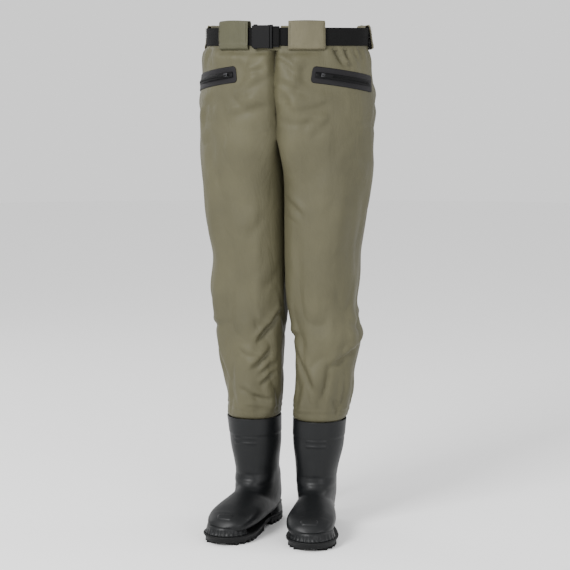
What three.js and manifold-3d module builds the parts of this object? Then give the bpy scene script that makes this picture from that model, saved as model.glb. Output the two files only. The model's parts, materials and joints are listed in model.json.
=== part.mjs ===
// Bootfoot waist waders: coated fabric trousers on rubber boots, with a webbing belt and two zip pockets.
// Millimetres, +Z up. The front faces -Y and the wearer's left side is +X. The soles stand on z = 0.

import * as THREE from 'three';
import { mergeVertices } from 'three/addons/utils/BufferGeometryUtils.js';
import Module from 'manifold-3d';

const wasm = await Module();
wasm.setup();

// ---- Driving dimensions, mm and degrees ----

const SEAM_GAP = 0.4; // between two pieces that meet
const FABRIC = 2.4; // wall of a fabric panel, as a solid
const WEBBING = 2.2;

const WAIST_TOP = 1102; // top hem of the waistband
const WAISTBAND_BOTTOM = 1057;
const HIP_LEVEL = 930; // the widest level of the hips
const CROTCH = 859;
const KNEE = 480;
const HIP_BAND_HEIGHT = 138; // soft fabric between the hips and the thigh
const KNEE_BAND_HALF_HEIGHT = 60;

const WAIST_HALF_WIDTH = 177;
const WAIST_HALF_DEPTH = 117;
const HIP_HALF_WIDTH = 195;
const HIP_HALF_DEPTH = 131;
const THIGH_HALF_DEPTH = 113;
const KNEE_HALF_DEPTH = 80;
const LEG_GAP = 3; // between the two thighs
const GUSSET_GAP = 6; // inside the hip panels
const GUSSET_OVERHANG = 12; // over the inner edge of each leg

const BELT_WIDTH = 38;
const BELT_BOTTOM = 1067;
const BELT_CLEARANCE = 0.8; // over the waistband
const LOOP_CLEARANCE = 4.2; // over the belt, for the sliding tail
const LOOP_LINING_GAP = 1; // between a loop's ends and the waistband
const LOOP_EDGE_FRONT = 14; // height of a front loop past the belt, at the top
const LOOP_EDGE_BACK = 6; // height of a side or back loop past the belt
const LOOP_FOOT = 1.5; // the loop's lower fold over the waistband's bottom edge
const LOOP_FOLD = 3; // corner of a loop, seen from its end
const LOOP_PLUG_GAP = 1; // from the buckle's ladder, with the plug drawn out
const LOOP_SOCKET_GAP = 10; // from the buckle's socket
const LOOP_FRONT_LEFT = 25.5; // loop widths, in degrees round the waist
const LOOP_FRONT_RIGHT = 26;
const LOOP_SIDE = 32;
const LOOP_BACK = 28;
const LOOP_SIDE_TURN = 108; // where the side loops are centred

const BUCKLE_HEIGHT = 50;
const BUCKLE_THICKNESS = 11;
const BUCKLE_CENTRE = -19; // along the belt from the centre front
const SOCKET_LENGTH = 39;
const BUCKLE_WALL = 2.5;
const BUCKLE_TRAVEL = 18;
const PRONG_LENGTH = 36;
const PRONG_THICKNESS = 4;
const PRONG_ARM = 5;
const PRONG_CENTRE = 15; // of an arm, from the buckle's middle line
const PRONG_HEAD = 7.5;
const PRONG_PROUD = 0.8; // of a prong's head past the socket's edge
const PRONG_PLAY = 0.6; // each side of a prong in the socket
const WINDOW_DEPTH = 14; // of the socket's side windows, from its edge
const GUIDE_LENGTH = 28; // the tongue between the prongs
const GUIDE_HALF_HEIGHT = 4;
const PLUG_BASE = 5;
const LADDER_LENGTH = 14;
const LADDER_STEP = 4; // how far the ladder is set back from the plug's face
const LADDER_INSET = 3; // from the plug's upper and lower edge
const LADDER_SLOTS = [4.5, 10]; // from the plug's base
const LADDER_SLOT_WIDTH = 3.2;
const TAIL_LENGTH = 34;
const TAIL_SHADOW = 22; // between the tail's end and the belt's own end, under the loop

const FACING_HEIGHT = 36;
const FACING_THICKNESS = 1.2;
const FACING_STANDOFF = 0.9; // off the hip at the closest point
const POCKET_INNER = 26; // degrees round the hip from the centre front
const POCKET_OUTER = 84;
const POCKET_INNER_LEVEL = 1007;
const POCKET_DROP = 22; // of the pocket's outer end
const ZIP_SLOT = 8;
const ZIP_END = 15; // facing past each end of the zip
const CHAIN_WIDTH = 5.6;
const CHAIN_THICKNESS = 1.4;
const TAPE_THICKNESS = 1;
const TAPE_INSET = 5; // from the facing's long edges
const SLIDER_LENGTH = 11;
const SLIDER_WIDTH = 8.4;
const SLIDER_THICKNESS = 2.4;
const SLIDER_START = 4; // from the end of the zip's slot
const PULL_LENGTH = 22;
const PULL_THICKNESS = 1.6;
const PULL_HALF_WIDTH = 3.6;
const PULL_TAIL = 1.1; // behind the pivot
const PULL_PIVOT = 3; // along the slider
const PULL_RISE = 1.8; // of the pivot over the slider
const POCKET_BAG_DEPTH = 130;
const POCKET_BAG_GAP = 1.5; // from the hip's inner face
const POCKET_BAG_THICKNESS = 2;

const BOOT_TOP = 250;
const SLEEVE_CLEARANCE = 6.5; // inside the boot's wall
const SLEEVE_REACH = 20; // above and below the boot's top
const SLEEVE_THICKNESS = 1.4;
const ANKLE = 117;
const BOOT_WALL = 3;
const BOOT_SPREAD = 68; // of an ankle's centre from the middle plane
const TOE_OUT = 8;
const SHAFT_LEAN = 7; // of the boot's top, outwards from the ankle
const COLLAR_HEIGHT = 28;
const COLLAR_THICKNESS = 1.6;
const SOLE_THICKNESS = 20;
const INSOLE_INSET = 26; // from the sole's edge
const INSOLE_BOTTOM = 30;
const INSOLE_THICKNESS = 4;
const HEEL_SEAT = 6; // of the outsole, over the heel block
const HEEL_FLARE = 2;
const ARCH_LENGTH = 46;
const ARCH_RISE = 9;
const TREAD_DEPTH = 6;
const TREAD_GROOVE = 7;
const TREAD_PITCH = 24;
const RIM_HEIGHT = 20;
const RIM_THICKNESS = 4;
const RIM_SETBACK = 1; // from the sole's edge
const RIM_LEAN = 2;
const TOE_SPAN = [0.36, 0.66]; // shares of the sole's outline, heel first
const HEEL_SPAN = [-0.14, 0.14];

const COLOURS = {
  fabric: 0x77705f,
  webbing: 0x151514,
  buckle: 0x101010,
  facing: 0x343335,
  chain: 0x18181a,
  slider: 0x4c4c4e,
  bag: 0x8a8576,
  rubber: 0x26292b,
  sole: 0x1a1b1c,
  insole: 0x3c3c3a,
};

// ---- Making closed solids ----

const TAU = Math.PI * 2;
const radians = THREE.MathUtils.degToRad;
const lerp = THREE.MathUtils.lerp;
const vector = (x, y, z) => new THREE.Vector3(x, y, z);

function signedVolume(geometry) {
  const position = geometry.attributes.position;
  const corners = [0, 1, 2].map(() => new THREE.Vector3());
  let sum = 0;
  for (let i = 0; i < geometry.index.count; i += 3) {
    corners.forEach((corner, k) => corner.fromBufferAttribute(position, geometry.index.getX(i + k)));
    sum += corners[0].dot(corners[1].clone().cross(corners[2])) / 6;
  }
  return sum;
}

// Joins shared vertices, drops collapsed triangles and turns the faces outwards.
function closeSolid(geometry) {
  geometry.deleteAttribute('normal');
  geometry.deleteAttribute('uv');
  const merged = mergeVertices(geometry, 1e-3);
  const corners = Array.from(merged.index.array);
  const kept = [];
  for (let i = 0; i < corners.length; i += 3) {
    const [a, b, c] = corners.slice(i, i + 3);
    if (a !== b && b !== c && c !== a) kept.push(a, b, c);
  }
  merged.setIndex(kept);
  if (signedVolume(merged) < 0) merged.setIndex(kept.reverse());
  merged.computeVertexNormals();
  return merged;
}

function reshape(geometry, place) {
  const position = geometry.attributes.position;
  for (let i = 0; i < position.count; i += 1) {
    const point = place(i, vector(position.getX(i), position.getY(i), position.getZ(i)));
    position.setXYZ(i, point.x, point.y, point.z);
  }
  return closeSolid(geometry);
}

// A bent plate. place(across, up, inwards) takes three values from 0 to 1.
function bentPlate(place, across, up) {
  const block = new THREE.BoxGeometry(1, 1, 1, across, up, 1);
  return reshape(block, (i, p) => place(p.x + 0.5, p.y + 0.5, p.z + 0.5));
}

// A ring-shaped wall. place(turn, up, inwards) takes the turn in radians and two values from 0 to 1.
function ringWall(place, around, up) {
  const profile = [];
  for (let j = 0; j <= up; j += 1) profile.push({ up: j / up, inwards: 0 });
  for (let j = up; j >= 0; j -= 1) profile.push({ up: j / up, inwards: 1 });
  profile.push(profile[0]);
  const outline = profile.map((p) => new THREE.Vector2(2 - p.inwards, p.up));
  return reshape(new THREE.LatheGeometry(outline, around), (i) => {
    const step = profile[i % profile.length];
    const turn = (Math.floor(i / profile.length) / around) * TAU;
    return place(turn % TAU, step.up, step.inwards);
  });
}

// A wall closed at one end, like a sock. rings is the number of rings before the closed end.
function sockWall(place, around, rings) {
  const profile = [];
  for (let j = rings; j >= 0; j -= 1) profile.push({ ring: j, inwards: 0 });
  for (let j = 0; j <= rings; j += 1) profile.push({ ring: j, inwards: 1 });
  const outline = profile.map((p) => new THREE.Vector2(p.ring === rings ? 0 : 1, p.ring));
  return reshape(new THREE.LatheGeometry(outline, around), (i) => {
    const step = profile[i % profile.length];
    const turn = (Math.floor(i / profile.length) / around) * TAU;
    return place(turn % TAU, step.ring, step.inwards);
  });
}

function toManifold(geometry) {
  const closed = geometry.index ? geometry : closeSolid(geometry);
  return new wasm.Manifold(new wasm.Mesh({
    numProp: 3,
    vertProperties: new Float32Array(closed.attributes.position.array),
    triVerts: new Uint32Array(closed.index.array),
  }));
}

function fromManifold(solid) {
  const mesh = solid.getMesh();
  const geometry = new THREE.BufferGeometry();
  geometry.setAttribute('position', new THREE.BufferAttribute(mesh.vertProperties, 3));
  geometry.setIndex(new THREE.BufferAttribute(mesh.triVerts, 1));
  geometry.computeVertexNormals();
  return geometry;
}

function block(low, high) {
  const size = high.clone().sub(low);
  const centre = low.clone().add(high).multiplyScalar(0.5);
  return closeSolid(new THREE.BoxGeometry(size.x, size.y, size.z).translate(centre.x, centre.y, centre.z));
}

function cut(geometry, tools) {
  const whole = toManifold(geometry);
  return fromManifold(tools.reduce((solid, tool) => solid.subtract(toManifold(tool)), whole));
}

function join(pieces) {
  return fromManifold(pieces.map(toManifold).reduce((solid, piece) => solid.add(piece)));
}

const waders = new THREE.Group();

function addPiece(name, geometry, colour, roughness, metalness = 0, parent = waders) {
  const material = new THREE.MeshStandardMaterial({ color: colour, roughness, metalness });
  const mesh = new THREE.Mesh(geometry, material);
  mesh.name = name;
  parent.add(mesh);
  return mesh;
}

// A value at a height, straight between listed levels that run from top to bottom.
function atHeight(levels, z, key) {
  const last = levels.length - 1;
  if (z >= levels[0].z) return levels[0][key];
  if (z <= levels[last].z) return levels[last][key];
  const below = levels.findIndex((level) => level.z <= z);
  const [high, low] = [levels[below - 1], levels[below]];
  return lerp(low[key], high[key], (z - low.z) / (high.z - low.z));
}

// The heights of a piece's rows: its two edges and every listed level between them.
function rowHeights(levels, bottom, top) {
  const between = levels.map((level) => level.z).filter((z) => z > bottom + 1 && z < top - 1);
  return [bottom, ...between.reverse(), top];
}

// ---- Trouser surface ----

const HIP_LEVELS = [
  { z: WAIST_TOP, halfWidth: WAIST_HALF_WIDTH, halfDepth: WAIST_HALF_DEPTH },
  { z: WAISTBAND_BOTTOM, halfWidth: WAIST_HALF_WIDTH, halfDepth: WAIST_HALF_DEPTH },
  { z: 1000, halfWidth: HIP_HALF_WIDTH - 6, halfDepth: HIP_HALF_DEPTH - 3 },
  { z: HIP_LEVEL, halfWidth: HIP_HALF_WIDTH, halfDepth: HIP_HALF_DEPTH },
  { z: CROTCH, halfWidth: HIP_HALF_WIDTH - 2, halfDepth: HIP_HALF_DEPTH },
];

// A leg's inner and outer edge, from the middle plane, and its half depth.
const LEG_LEVELS = [
  { z: CROTCH, outer: HIP_HALF_WIDTH - 2, inner: LEG_GAP / 2, halfDepth: THIGH_HALF_DEPTH },
  { z: 730, outer: HIP_HALF_WIDTH - 12, inner: LEG_GAP / 2, halfDepth: THIGH_HALF_DEPTH - 8 },
  { z: 620, outer: HIP_HALF_WIDTH - 26, inner: LEG_GAP / 2, halfDepth: THIGH_HALF_DEPTH - 18 },
  { z: 573, outer: 165, inner: LEG_GAP / 2 + 1, halfDepth: KNEE_HALF_DEPTH + 9.5 },
  { z: KNEE + 30, outer: 160, inner: 5.5, halfDepth: KNEE_HALF_DEPTH + 3 },
  { z: KNEE - 80, outer: 155, inner: 15, halfDepth: KNEE_HALF_DEPTH - 3 },
  { z: 330, outer: 145, inner: 17, halfDepth: 72 },
  { z: BOOT_TOP, outer: 134, inner: 16, halfDepth: 66 },
];

// Turn 0 is the front, a quarter turn is the wearer's left.
function hipPoint(turn, z, inset = 0) {
  const halfWidth = atHeight(HIP_LEVELS, z, 'halfWidth') - inset;
  const halfDepth = atHeight(HIP_LEVELS, z, 'halfDepth') - inset;
  return vector(halfWidth * Math.sin(turn), -halfDepth * Math.cos(turn), z);
}

// side is 1 for the wearer's left leg and -1 for the right. The section is a slightly squared oval.
function legPoint(side, turn, z, inset = 0) {
  const outer = atHeight(LEG_LEVELS, z, 'outer') - inset;
  const inner = atHeight(LEG_LEVELS, z, 'inner') + inset;
  const halfDepth = atHeight(LEG_LEVELS, z, 'halfDepth') - inset;
  const squared = (value) => Math.sign(value) * Math.abs(value) ** 0.9;
  const across = squared(Math.sin(turn)) * (outer - inner) / 2;
  return vector(side * ((outer + inner) / 2 + across), -halfDepth * squared(Math.cos(turn)), z);
}

// A panel between two turns, short of its neighbours by half a seam gap.
function fabricPanel(surface, from, to, heights, across) {
  const margin = SEAM_GAP / KNEE_HALF_DEPTH;
  const rows = heights.length - 1;
  return bentPlate((u, v, w) => {
    const turn = lerp(from + margin, to - margin, u);
    return surface(turn, heights[Math.round(v * rows)], w * FABRIC);
  }, across, rows);
}

const QUARTER = TAU / 4;
const LEG_STEPS = 20; // flats round a leg
const FOOT_STEPS = 16;
const ROUGH_FABRIC = 0.85;
const SIDES = [{ name: 'left', side: 1 }, { name: 'right', side: -1 }];

function addHips() {
  const surface = (turn, z, inset) => hipPoint(turn, z, inset);
  const panels = {
    hip_panel_front_left: 0,
    hip_panel_back_left: 1,
    hip_panel_back_right: 2,
    hip_panel_front_right: 3,
  };
  const heights = rowHeights(HIP_LEVELS, CROTCH + SEAM_GAP, WAISTBAND_BOTTOM - SEAM_GAP);
  for (const [name, quarter] of Object.entries(panels)) {
    const from = quarter * QUARTER;
    const shape = fabricPanel(surface, from, from + QUARTER, heights, 10);
    addPiece(name, shape, COLOURS.fabric, ROUGH_FABRIC);
  }
  const bands = { waistband_front: -QUARTER, waistband_back: QUARTER };
  for (const [name, from] of Object.entries(bands)) {
    const shape = fabricPanel(surface, from, from + 2 * QUARTER, [WAISTBAND_BOTTOM, WAIST_TOP], 36);
    addPiece(name, shape, COLOURS.fabric, ROUGH_FABRIC);
  }
}

// The gusset lies between the tops of the legs, on the hips' lower edge.
function addGusset() {
  const reach = HIP_HALF_DEPTH - FABRIC - GUSSET_GAP;
  const widest = HIP_HALF_WIDTH - FABRIC - GUSSET_GAP;
  const gussetEdge = (y) => {
    const share = Math.min(1, Math.abs(y) / THIGH_HALF_DEPTH);
    const legEdge = HIP_HALF_WIDTH / 2 * (1 - Math.sqrt(1 - share * share)) + GUSSET_OVERHANG;
    const hipEdge = widest * Math.sqrt(1 - (y / (reach + 2)) ** 2);
    return Math.min(legEdge, hipEdge);
  };
  const shape = bentPlate((u, v, w) => {
    const y = lerp(-reach, reach, v);
    return vector(lerp(-1, 1, u) * gussetEdge(y), y, CROTCH + SEAM_GAP + w * FABRIC);
  }, 2, 20);
  addPiece('crotch_gusset', shape, COLOURS.fabric, ROUGH_FABRIC);
}

// ---- Belt, loops and buckle ----

const BELT_TOP = BELT_BOTTOM + BELT_WIDTH;
const BELT_LEVEL = BELT_BOTTOM + BELT_WIDTH / 2;
const BELT_OUTSET = BELT_CLEARANCE + WEBBING;
const BELT_FRONT = -(atHeight(HIP_LEVELS, BELT_LEVEL, 'halfDepth') + BELT_OUTSET);

// Places along the belt from the centre front. The plug and its tail are on the wearer's left.
const SOCKET_LEFT = BUCKLE_CENTRE - (SOCKET_LENGTH + LADDER_LENGTH) / 2;
const SOCKET_RIGHT = SOCKET_LEFT + SOCKET_LENGTH;
const PLUG_LEFT = SOCKET_RIGHT + 2 * SEAM_GAP;
const PLUG_RIGHT = PLUG_LEFT + PLUG_BASE;
const LADDER_RIGHT = PLUG_RIGHT + LADDER_LENGTH;
const TAIL_END = LADDER_RIGHT + SEAM_GAP + TAIL_LENGTH;

// Turn of the point that lies this far along the belt.
const beltTurn = (along) => Math.asin(along / (WAIST_HALF_WIDTH + BELT_OUTSET));

function beltPiece(from, to, steps) {
  return bentPlate((u, v, w) => {
    const out = BELT_CLEARANCE + WEBBING * (1 - w);
    const point = hipPoint(lerp(from, to, u), BELT_LEVEL, -out);
    return vector(point.x, point.y, lerp(BELT_BOTTOM, BELT_TOP, v));
  }, steps, 1);
}

// The loop's path in its own section: inside the waistband, over the belt and down to the foot.
function loopPath(share, edge) {
  const out = BELT_OUTSET + LOOP_CLEARANCE + FABRIC;
  const inside = -2 * FABRIC - LOOP_LINING_GAP;
  const top = BELT_TOP + edge;
  const foot = WAISTBAND_BOTTOM + LOOP_FOOT;
  const corners = [
    [inside, BELT_LEVEL],
    [inside, top - LOOP_FOLD],
    [inside + LOOP_FOLD, top],
    [out - LOOP_FOLD, top],
    [out, top - LOOP_FOLD],
    [out, foot + LOOP_FOLD],
    [out - LOOP_FOLD, foot],
    [LOOP_LINING_GAP, foot],
  ];
  const place = share * (corners.length - 1);
  const first = Math.min(Math.floor(place), corners.length - 2);
  const [a, b] = [corners[first], corners[first + 1]];
  const point = new THREE.Vector2(lerp(a[0], b[0], place - first), lerp(a[1], b[1], place - first));
  return { point, corners: corners.length };
}

// The front loops keep clear of the buckle, wherever it reaches.
function loopSpans() {
  const left = beltTurn(LADDER_RIGHT + BUCKLE_TRAVEL + LOOP_PLUG_GAP);
  const right = beltTurn(SOCKET_LEFT - LOOP_SOCKET_GAP);
  const centred = (degrees, width) => [radians(degrees - width / 2), radians(degrees + width / 2)];
  return {
    belt_loop_front_left: [left, left + radians(LOOP_FRONT_LEFT)],
    belt_loop_front_right: [right - radians(LOOP_FRONT_RIGHT), right],
    belt_loop_side_left: centred(LOOP_SIDE_TURN, LOOP_SIDE),
    belt_loop_side_right: centred(-LOOP_SIDE_TURN, LOOP_SIDE),
    belt_loop_back: centred(180, LOOP_BACK),
  };
}

function addLoops() {
  const steps = loopPath(0, LOOP_EDGE_FRONT).corners - 1;
  for (const [name, [from, to]] of Object.entries(loopSpans())) {
    const edge = name.startsWith("belt_loop_front") ? LOOP_EDGE_FRONT : LOOP_EDGE_BACK;
    const shape = bentPlate((u, v, w) => {
      const { point } = loopPath(v, edge);
      const ahead = loopPath(Math.min(1, v + 0.01), edge).point;
      const behind = loopPath(Math.max(0, v - 0.01), edge).point;
      const along = ahead.sub(behind).normalize();
      const inwards = new THREE.Vector2(along.y, -along.x).multiplyScalar(w * FABRIC);
      const section = point.clone().add(inwards);
      const base = hipPoint(lerp(from, to, u), BELT_LEVEL, -section.x);
      return vector(base.x, base.y, section.y);
    }, 6, steps);
    addPiece(name, shape, COLOURS.fabric, ROUGH_FABRIC);
  }
}

// A rounded plate that faces the front, from its outline's half sizes.
function buckleBlock(left, right, halfHeight, thickness, corner, back = 0) {
  const outline = new THREE.Shape();
  outline.moveTo(left + corner, -halfHeight);
  outline.lineTo(right - corner, -halfHeight);
  outline.quadraticCurveTo(right, -halfHeight, right, -halfHeight + corner);
  outline.lineTo(right, halfHeight - corner);
  outline.quadraticCurveTo(right, halfHeight, right - corner, halfHeight);
  outline.lineTo(left + corner, halfHeight);
  outline.quadraticCurveTo(left, halfHeight, left, halfHeight - corner);
  outline.lineTo(left, -halfHeight + corner);
  outline.quadraticCurveTo(left, -halfHeight, left + corner, -halfHeight);
  const options = { depth: thickness, bevelEnabled: false, curveSegments: 4 };
  const plate = new THREE.ExtrudeGeometry(outline, options);
  // The outline's Y becomes up, and the thickness runs forward from the waist.
  return closeSolid(plate.rotateX(Math.PI / 2).translate(0, -back, 0));
}

// A block of the buckle: from x0 to x1 along the belt, out from the waist, and up or down from the middle.
function buckleBox([x0, x1], [near, far], heights) {
  const [z0, z1] = [...heights].sort((a, b) => a - b);
  return block(vector(x0, -far, z0), vector(x1, -near, z1));
}

function addBeltAndBuckle() {
  const halfHeight = BUCKLE_HEIGHT / 2;
  const inner = halfHeight - BUCKLE_WALL;
  const middle = BUCKLE_THICKNESS / 2;
  const prong = [middle - PRONG_THICKNESS / 2, middle + PRONG_THICKNESS / 2];
  const cavity = [prong[0] - PRONG_PLAY, prong[1] + PRONG_PLAY];
  const webbing = [-BELT_WIDTH / 2, BELT_WIDTH / 2];
  const through = [-1, BUCKLE_THICKNESS + 1];
  const place = (geometry) => geometry.translate(0, BELT_FRONT + WEBBING, BELT_LEVEL);
  const buckle = (name, shape) => addPiece(name, place(shape), COLOURS.buckle, 0.5);

  const headLeft = PLUG_LEFT - PRONG_LENGTH;
  const headRight = headLeft + PRONG_HEAD;
  const windowSpan = [headLeft - 2 * PRONG_PLAY, headRight + BUCKLE_TRAVEL + PRONG_PLAY];
  const windows = [1, -1].map((up) => (
    buckleBox(windowSpan, cavity, [up * (halfHeight - WINDOW_DEPTH), up * (halfHeight + 1)])
  ));
  const chamber = buckleBox([headLeft - 3 * PRONG_PLAY, SOCKET_RIGHT + 1], cavity, [-inner, inner]);
  const bar = buckleBox([SOCKET_LEFT + 3, SOCKET_LEFT + 3 + PRONG_PLAY], [-1, WEBBING + 1], webbing);
  const shell = buckleBlock(SOCKET_LEFT, SOCKET_RIGHT, halfHeight, BUCKLE_THICKNESS, 4);
  buckle('buckle_socket', cut(shell, [chamber, ...windows, bar]));

  const shoulder = buckleBlock(PLUG_LEFT, PLUG_RIGHT, halfHeight, BUCKLE_THICKNESS, 1.5);
  const frame = buckleBlock(
    PLUG_RIGHT - 1,
    LADDER_RIGHT,
    halfHeight - LADDER_INSET,
    BUCKLE_THICKNESS - LADDER_STEP,
    LADDER_INSET,
  );
  const guideHeights = [-GUIDE_HALF_HEIGHT, GUIDE_HALF_HEIGHT];
  const guide = buckleBox([PLUG_LEFT - GUIDE_LENGTH, PLUG_LEFT + 1], prong, guideHeights);
  const slots = LADDER_SLOTS.map((along) => {
    const centre = PLUG_RIGHT + along;
    return buckleBox([centre - LADDER_SLOT_WIDTH / 2, centre + LADDER_SLOT_WIDTH / 2], through, webbing);
  });
  buckle('buckle_plug', cut(join([shoulder, frame, guide]), slots));

  const armLow = PRONG_CENTRE - PRONG_ARM / 2;
  const armHigh = PRONG_CENTRE + PRONG_ARM / 2;
  for (const [name, up] of [['buckle_prong_upper', 1], ['buckle_prong_lower', -1]]) {
    const arm = buckleBox([headLeft + 1, PLUG_LEFT - SEAM_GAP], prong, [up * armLow, up * armHigh]);
    const head = buckleBox([headLeft, headRight], prong, [up * armLow, up * (halfHeight + PRONG_PROUD)]);
    buckle(name, join([arm, head]));
  }

  const tail = beltPiece(beltTurn(LADDER_RIGHT + SEAM_GAP), beltTurn(TAIL_END), 6);
  addPiece('belt_tail', tail, COLOURS.webbing, 0.8);
  const strapStart = beltTurn(TAIL_END + TAIL_SHADOW);
  const strapEnd = TAU + beltTurn(SOCKET_LEFT - SEAM_GAP);
  addPiece('belt', beltPiece(strapStart, strapEnd, 60), COLOURS.webbing, 0.8);
}

// ---- Pockets and zips ----

const HIP_SLOPE = (HIP_HALF_WIDTH - WAIST_HALF_WIDTH) / (WAISTBAND_BOTTOM - HIP_LEVEL);
const FACING_STEPS = 12;

// A point on the left zip's track: along it in mm, up across the facing, and out from the hip.
function onTrack(track, along, up, out) {
  const angle = along / track.length * track.sweep;
  const radius = track.radius + out - up * HIP_SLOPE;
  const point = track.centre.clone();
  point.addScaledVector(track.start, radius * Math.cos(angle));
  point.addScaledVector(track.ahead, radius * Math.sin(angle));
  return point.addScaledVector(track.axis, up);
}

// The least room between the facing's back and the hip.
function leastRoom(track) {
  let least = Infinity;
  for (let step = 0; step <= FACING_STEPS; step += 1) {
    for (const up of [-FACING_HEIGHT / 2, 0, FACING_HEIGHT / 2]) {
      const point = onTrack(track, track.length * step / FACING_STEPS, up, 0);
      const across = point.x / atHeight(HIP_LEVELS, point.z, 'halfWidth');
      const ahead = -point.y / atHeight(HIP_LEVELS, point.z, 'halfDepth');
      const hip = hipPoint(Math.atan2(across, ahead), point.z);
      least = Math.min(least, Math.hypot(point.x, point.y) - Math.hypot(hip.x, hip.y));
    }
  }
  return least;
}

// The zip runs on an arc. It passes through three points of the hip and is then moved out to clear it.
function zipTrack() {
  const drop = (degrees) => POCKET_DROP * (degrees - POCKET_INNER) / (POCKET_OUTER - POCKET_INNER);
  const onHip = (degrees) => hipPoint(radians(degrees), POCKET_INNER_LEVEL - drop(degrees));
  const middleTurn = lerp(POCKET_INNER, POCKET_OUTER, 0.55);
  const [a, b, c] = [onHip(POCKET_INNER), onHip(middleTurn), onHip(POCKET_OUTER)];
  const ab = b.clone().sub(a);
  const ac = c.clone().sub(a);
  const normal = ab.clone().cross(ac);
  const toCentre = normal.clone().cross(ab).multiplyScalar(ac.lengthSq());
  toCentre.add(ac.clone().cross(normal).multiplyScalar(ab.lengthSq()));
  toCentre.divideScalar(2 * normal.lengthSq());
  const centre = a.clone().add(toCentre);
  const axis = normal.normalize();
  const start = a.clone().sub(centre).normalize();
  const ahead = axis.clone().cross(start);
  const toEnd = c.clone().sub(centre);
  const sweep = Math.atan2(toEnd.dot(ahead), toEnd.dot(start));
  const radius = toCentre.length();
  const track = { centre, axis, start, ahead, sweep, radius, length: sweep * radius };
  return { ...track, radius: radius + FACING_STANDOFF - leastRoom(track) };
}

const TRACK = zipTrack();
const TRACK_LENGTH = TRACK.length;
const CHAIN_BACK = TAPE_THICKNESS + SEAM_GAP;
const CHAIN_FRONT = CHAIN_BACK + CHAIN_THICKNESS;
const SLIDER_BACK = CHAIN_FRONT + SEAM_GAP;

function trackPoint(side, along, up, out) {
  const point = onTrack(TRACK, along, up, out);
  return vector(side * point.x, point.y, point.z);
}

function trackStrip(side, [from, to], half, near, far) {
  return bentPlate((u, v, w) => (
    trackPoint(side, lerp(from, to, u), lerp(-half, half, v), lerp(far, near, w))
  ), FACING_STEPS, 1);
}

// The facing's inner end is a half round and its outer end is square.
function pocketFacing(side) {
  const half = FACING_HEIGHT / 2;
  const least = 0.3 * half;
  const back = TAPE_THICKNESS + SEAM_GAP;
  const plate = bentPlate((u, v, w) => {
    const along = TRACK_LENGTH * u ** 1.25; // rows crowd towards the round end
    const past = Math.max(0, half - along);
    const reach = Math.sqrt(Math.max(least * least, half * half - past * past));
    return trackPoint(side, along, lerp(-1, 1, v) * reach, back + FACING_THICKNESS * (1 - w));
  }, FACING_STEPS + 4, 2);
  const deep = FACING_THICKNESS + back + 2;
  return cut(plate, [trackStrip(side, [ZIP_END, TRACK_LENGTH - ZIP_END], ZIP_SLOT / 2, -deep, deep)]);
}

// The pull lies flat along the zip, straight out from its pivot over the slider.
function zipPull(side) {
  const start = ZIP_END + SLIDER_START + PULL_PIVOT;
  const pivot = trackPoint(side, start, 0, SLIDER_BACK + SLIDER_THICKNESS + PULL_RISE);
  const forward = trackPoint(side, start + 1, 0, 0).sub(trackPoint(side, start - 1, 0, 0)).normalize();
  const upward = trackPoint(side, start, 1, 0).sub(trackPoint(side, start, -1, 0)).normalize();
  const outward = forward.clone().cross(upward).multiplyScalar(side).normalize();
  return bentPlate((u, v, w) => {
    const width = lerp(0.7, 1, Math.min(1, u * 2)) * PULL_HALF_WIDTH;
    const point = pivot.clone();
    point.addScaledVector(forward, lerp(-PULL_TAIL, PULL_LENGTH, u));
    point.addScaledVector(upward, lerp(-width, width, v));
    return point.addScaledVector(outward, lerp(0.5, -0.5, w) * PULL_THICKNESS);
  }, 4, 1);
}

function addPocket({ name, side }) {
  addPiece(`pocket_facing_${name}`, pocketFacing(side), COLOURS.facing, 0.7);

  const tapeHalf = FACING_HEIGHT / 2 - TAPE_INSET;
  const tapeSpan = [ZIP_END / 2, TRACK_LENGTH - ZIP_END / 2];
  addPiece(`zip_tape_${name}`, trackStrip(side, tapeSpan, tapeHalf, 0, TAPE_THICKNESS), COLOURS.chain, 0.8);
  const chainSpan = [ZIP_END + 1, TRACK_LENGTH - ZIP_END - 1];
  const chain = trackStrip(side, chainSpan, CHAIN_WIDTH / 2, CHAIN_BACK, CHAIN_FRONT);
  addPiece(`zip_chain_${name}`, chain, COLOURS.chain, 0.5);

  const sliderStart = ZIP_END + SLIDER_START;
  const slider = bentPlate((u, v, w) => {
    const half = lerp(1, 0.7, u) * SLIDER_WIDTH / 2;
    const out = SLIDER_BACK + SLIDER_THICKNESS * (1 - w);
    return trackPoint(side, sliderStart + SLIDER_LENGTH * u, lerp(-half, half, v), out);
  }, 3, 1);
  addPiece(`zip_slider_${name}`, slider, COLOURS.slider, 0.35, 0.8);
  addPiece(`zip_pull_${name}`, zipPull(side), COLOURS.slider, 0.4, 0.6);

  // The bag hangs flat inside the hip, below the zip.
  const heights = rowHeights(HIP_LEVELS, POCKET_INNER_LEVEL - POCKET_BAG_DEPTH, POCKET_INNER_LEVEL - 8);
  const rows = heights.length - 1;
  const bag = bentPlate((u, v, w) => {
    const turn = radians(lerp(POCKET_INNER + 4, POCKET_OUTER - 4, u));
    const inset = FABRIC + POCKET_BAG_GAP + w * POCKET_BAG_THICKNESS;
    const point = hipPoint(turn, heights[Math.round(v * rows)], inset);
    return vector(side * point.x, point.y, point.z);
  }, 10, rows);
  addPiece(`pocket_bag_${name}`, bag, COLOURS.bag, 0.9);
}

// ---- Legs ----

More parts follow.
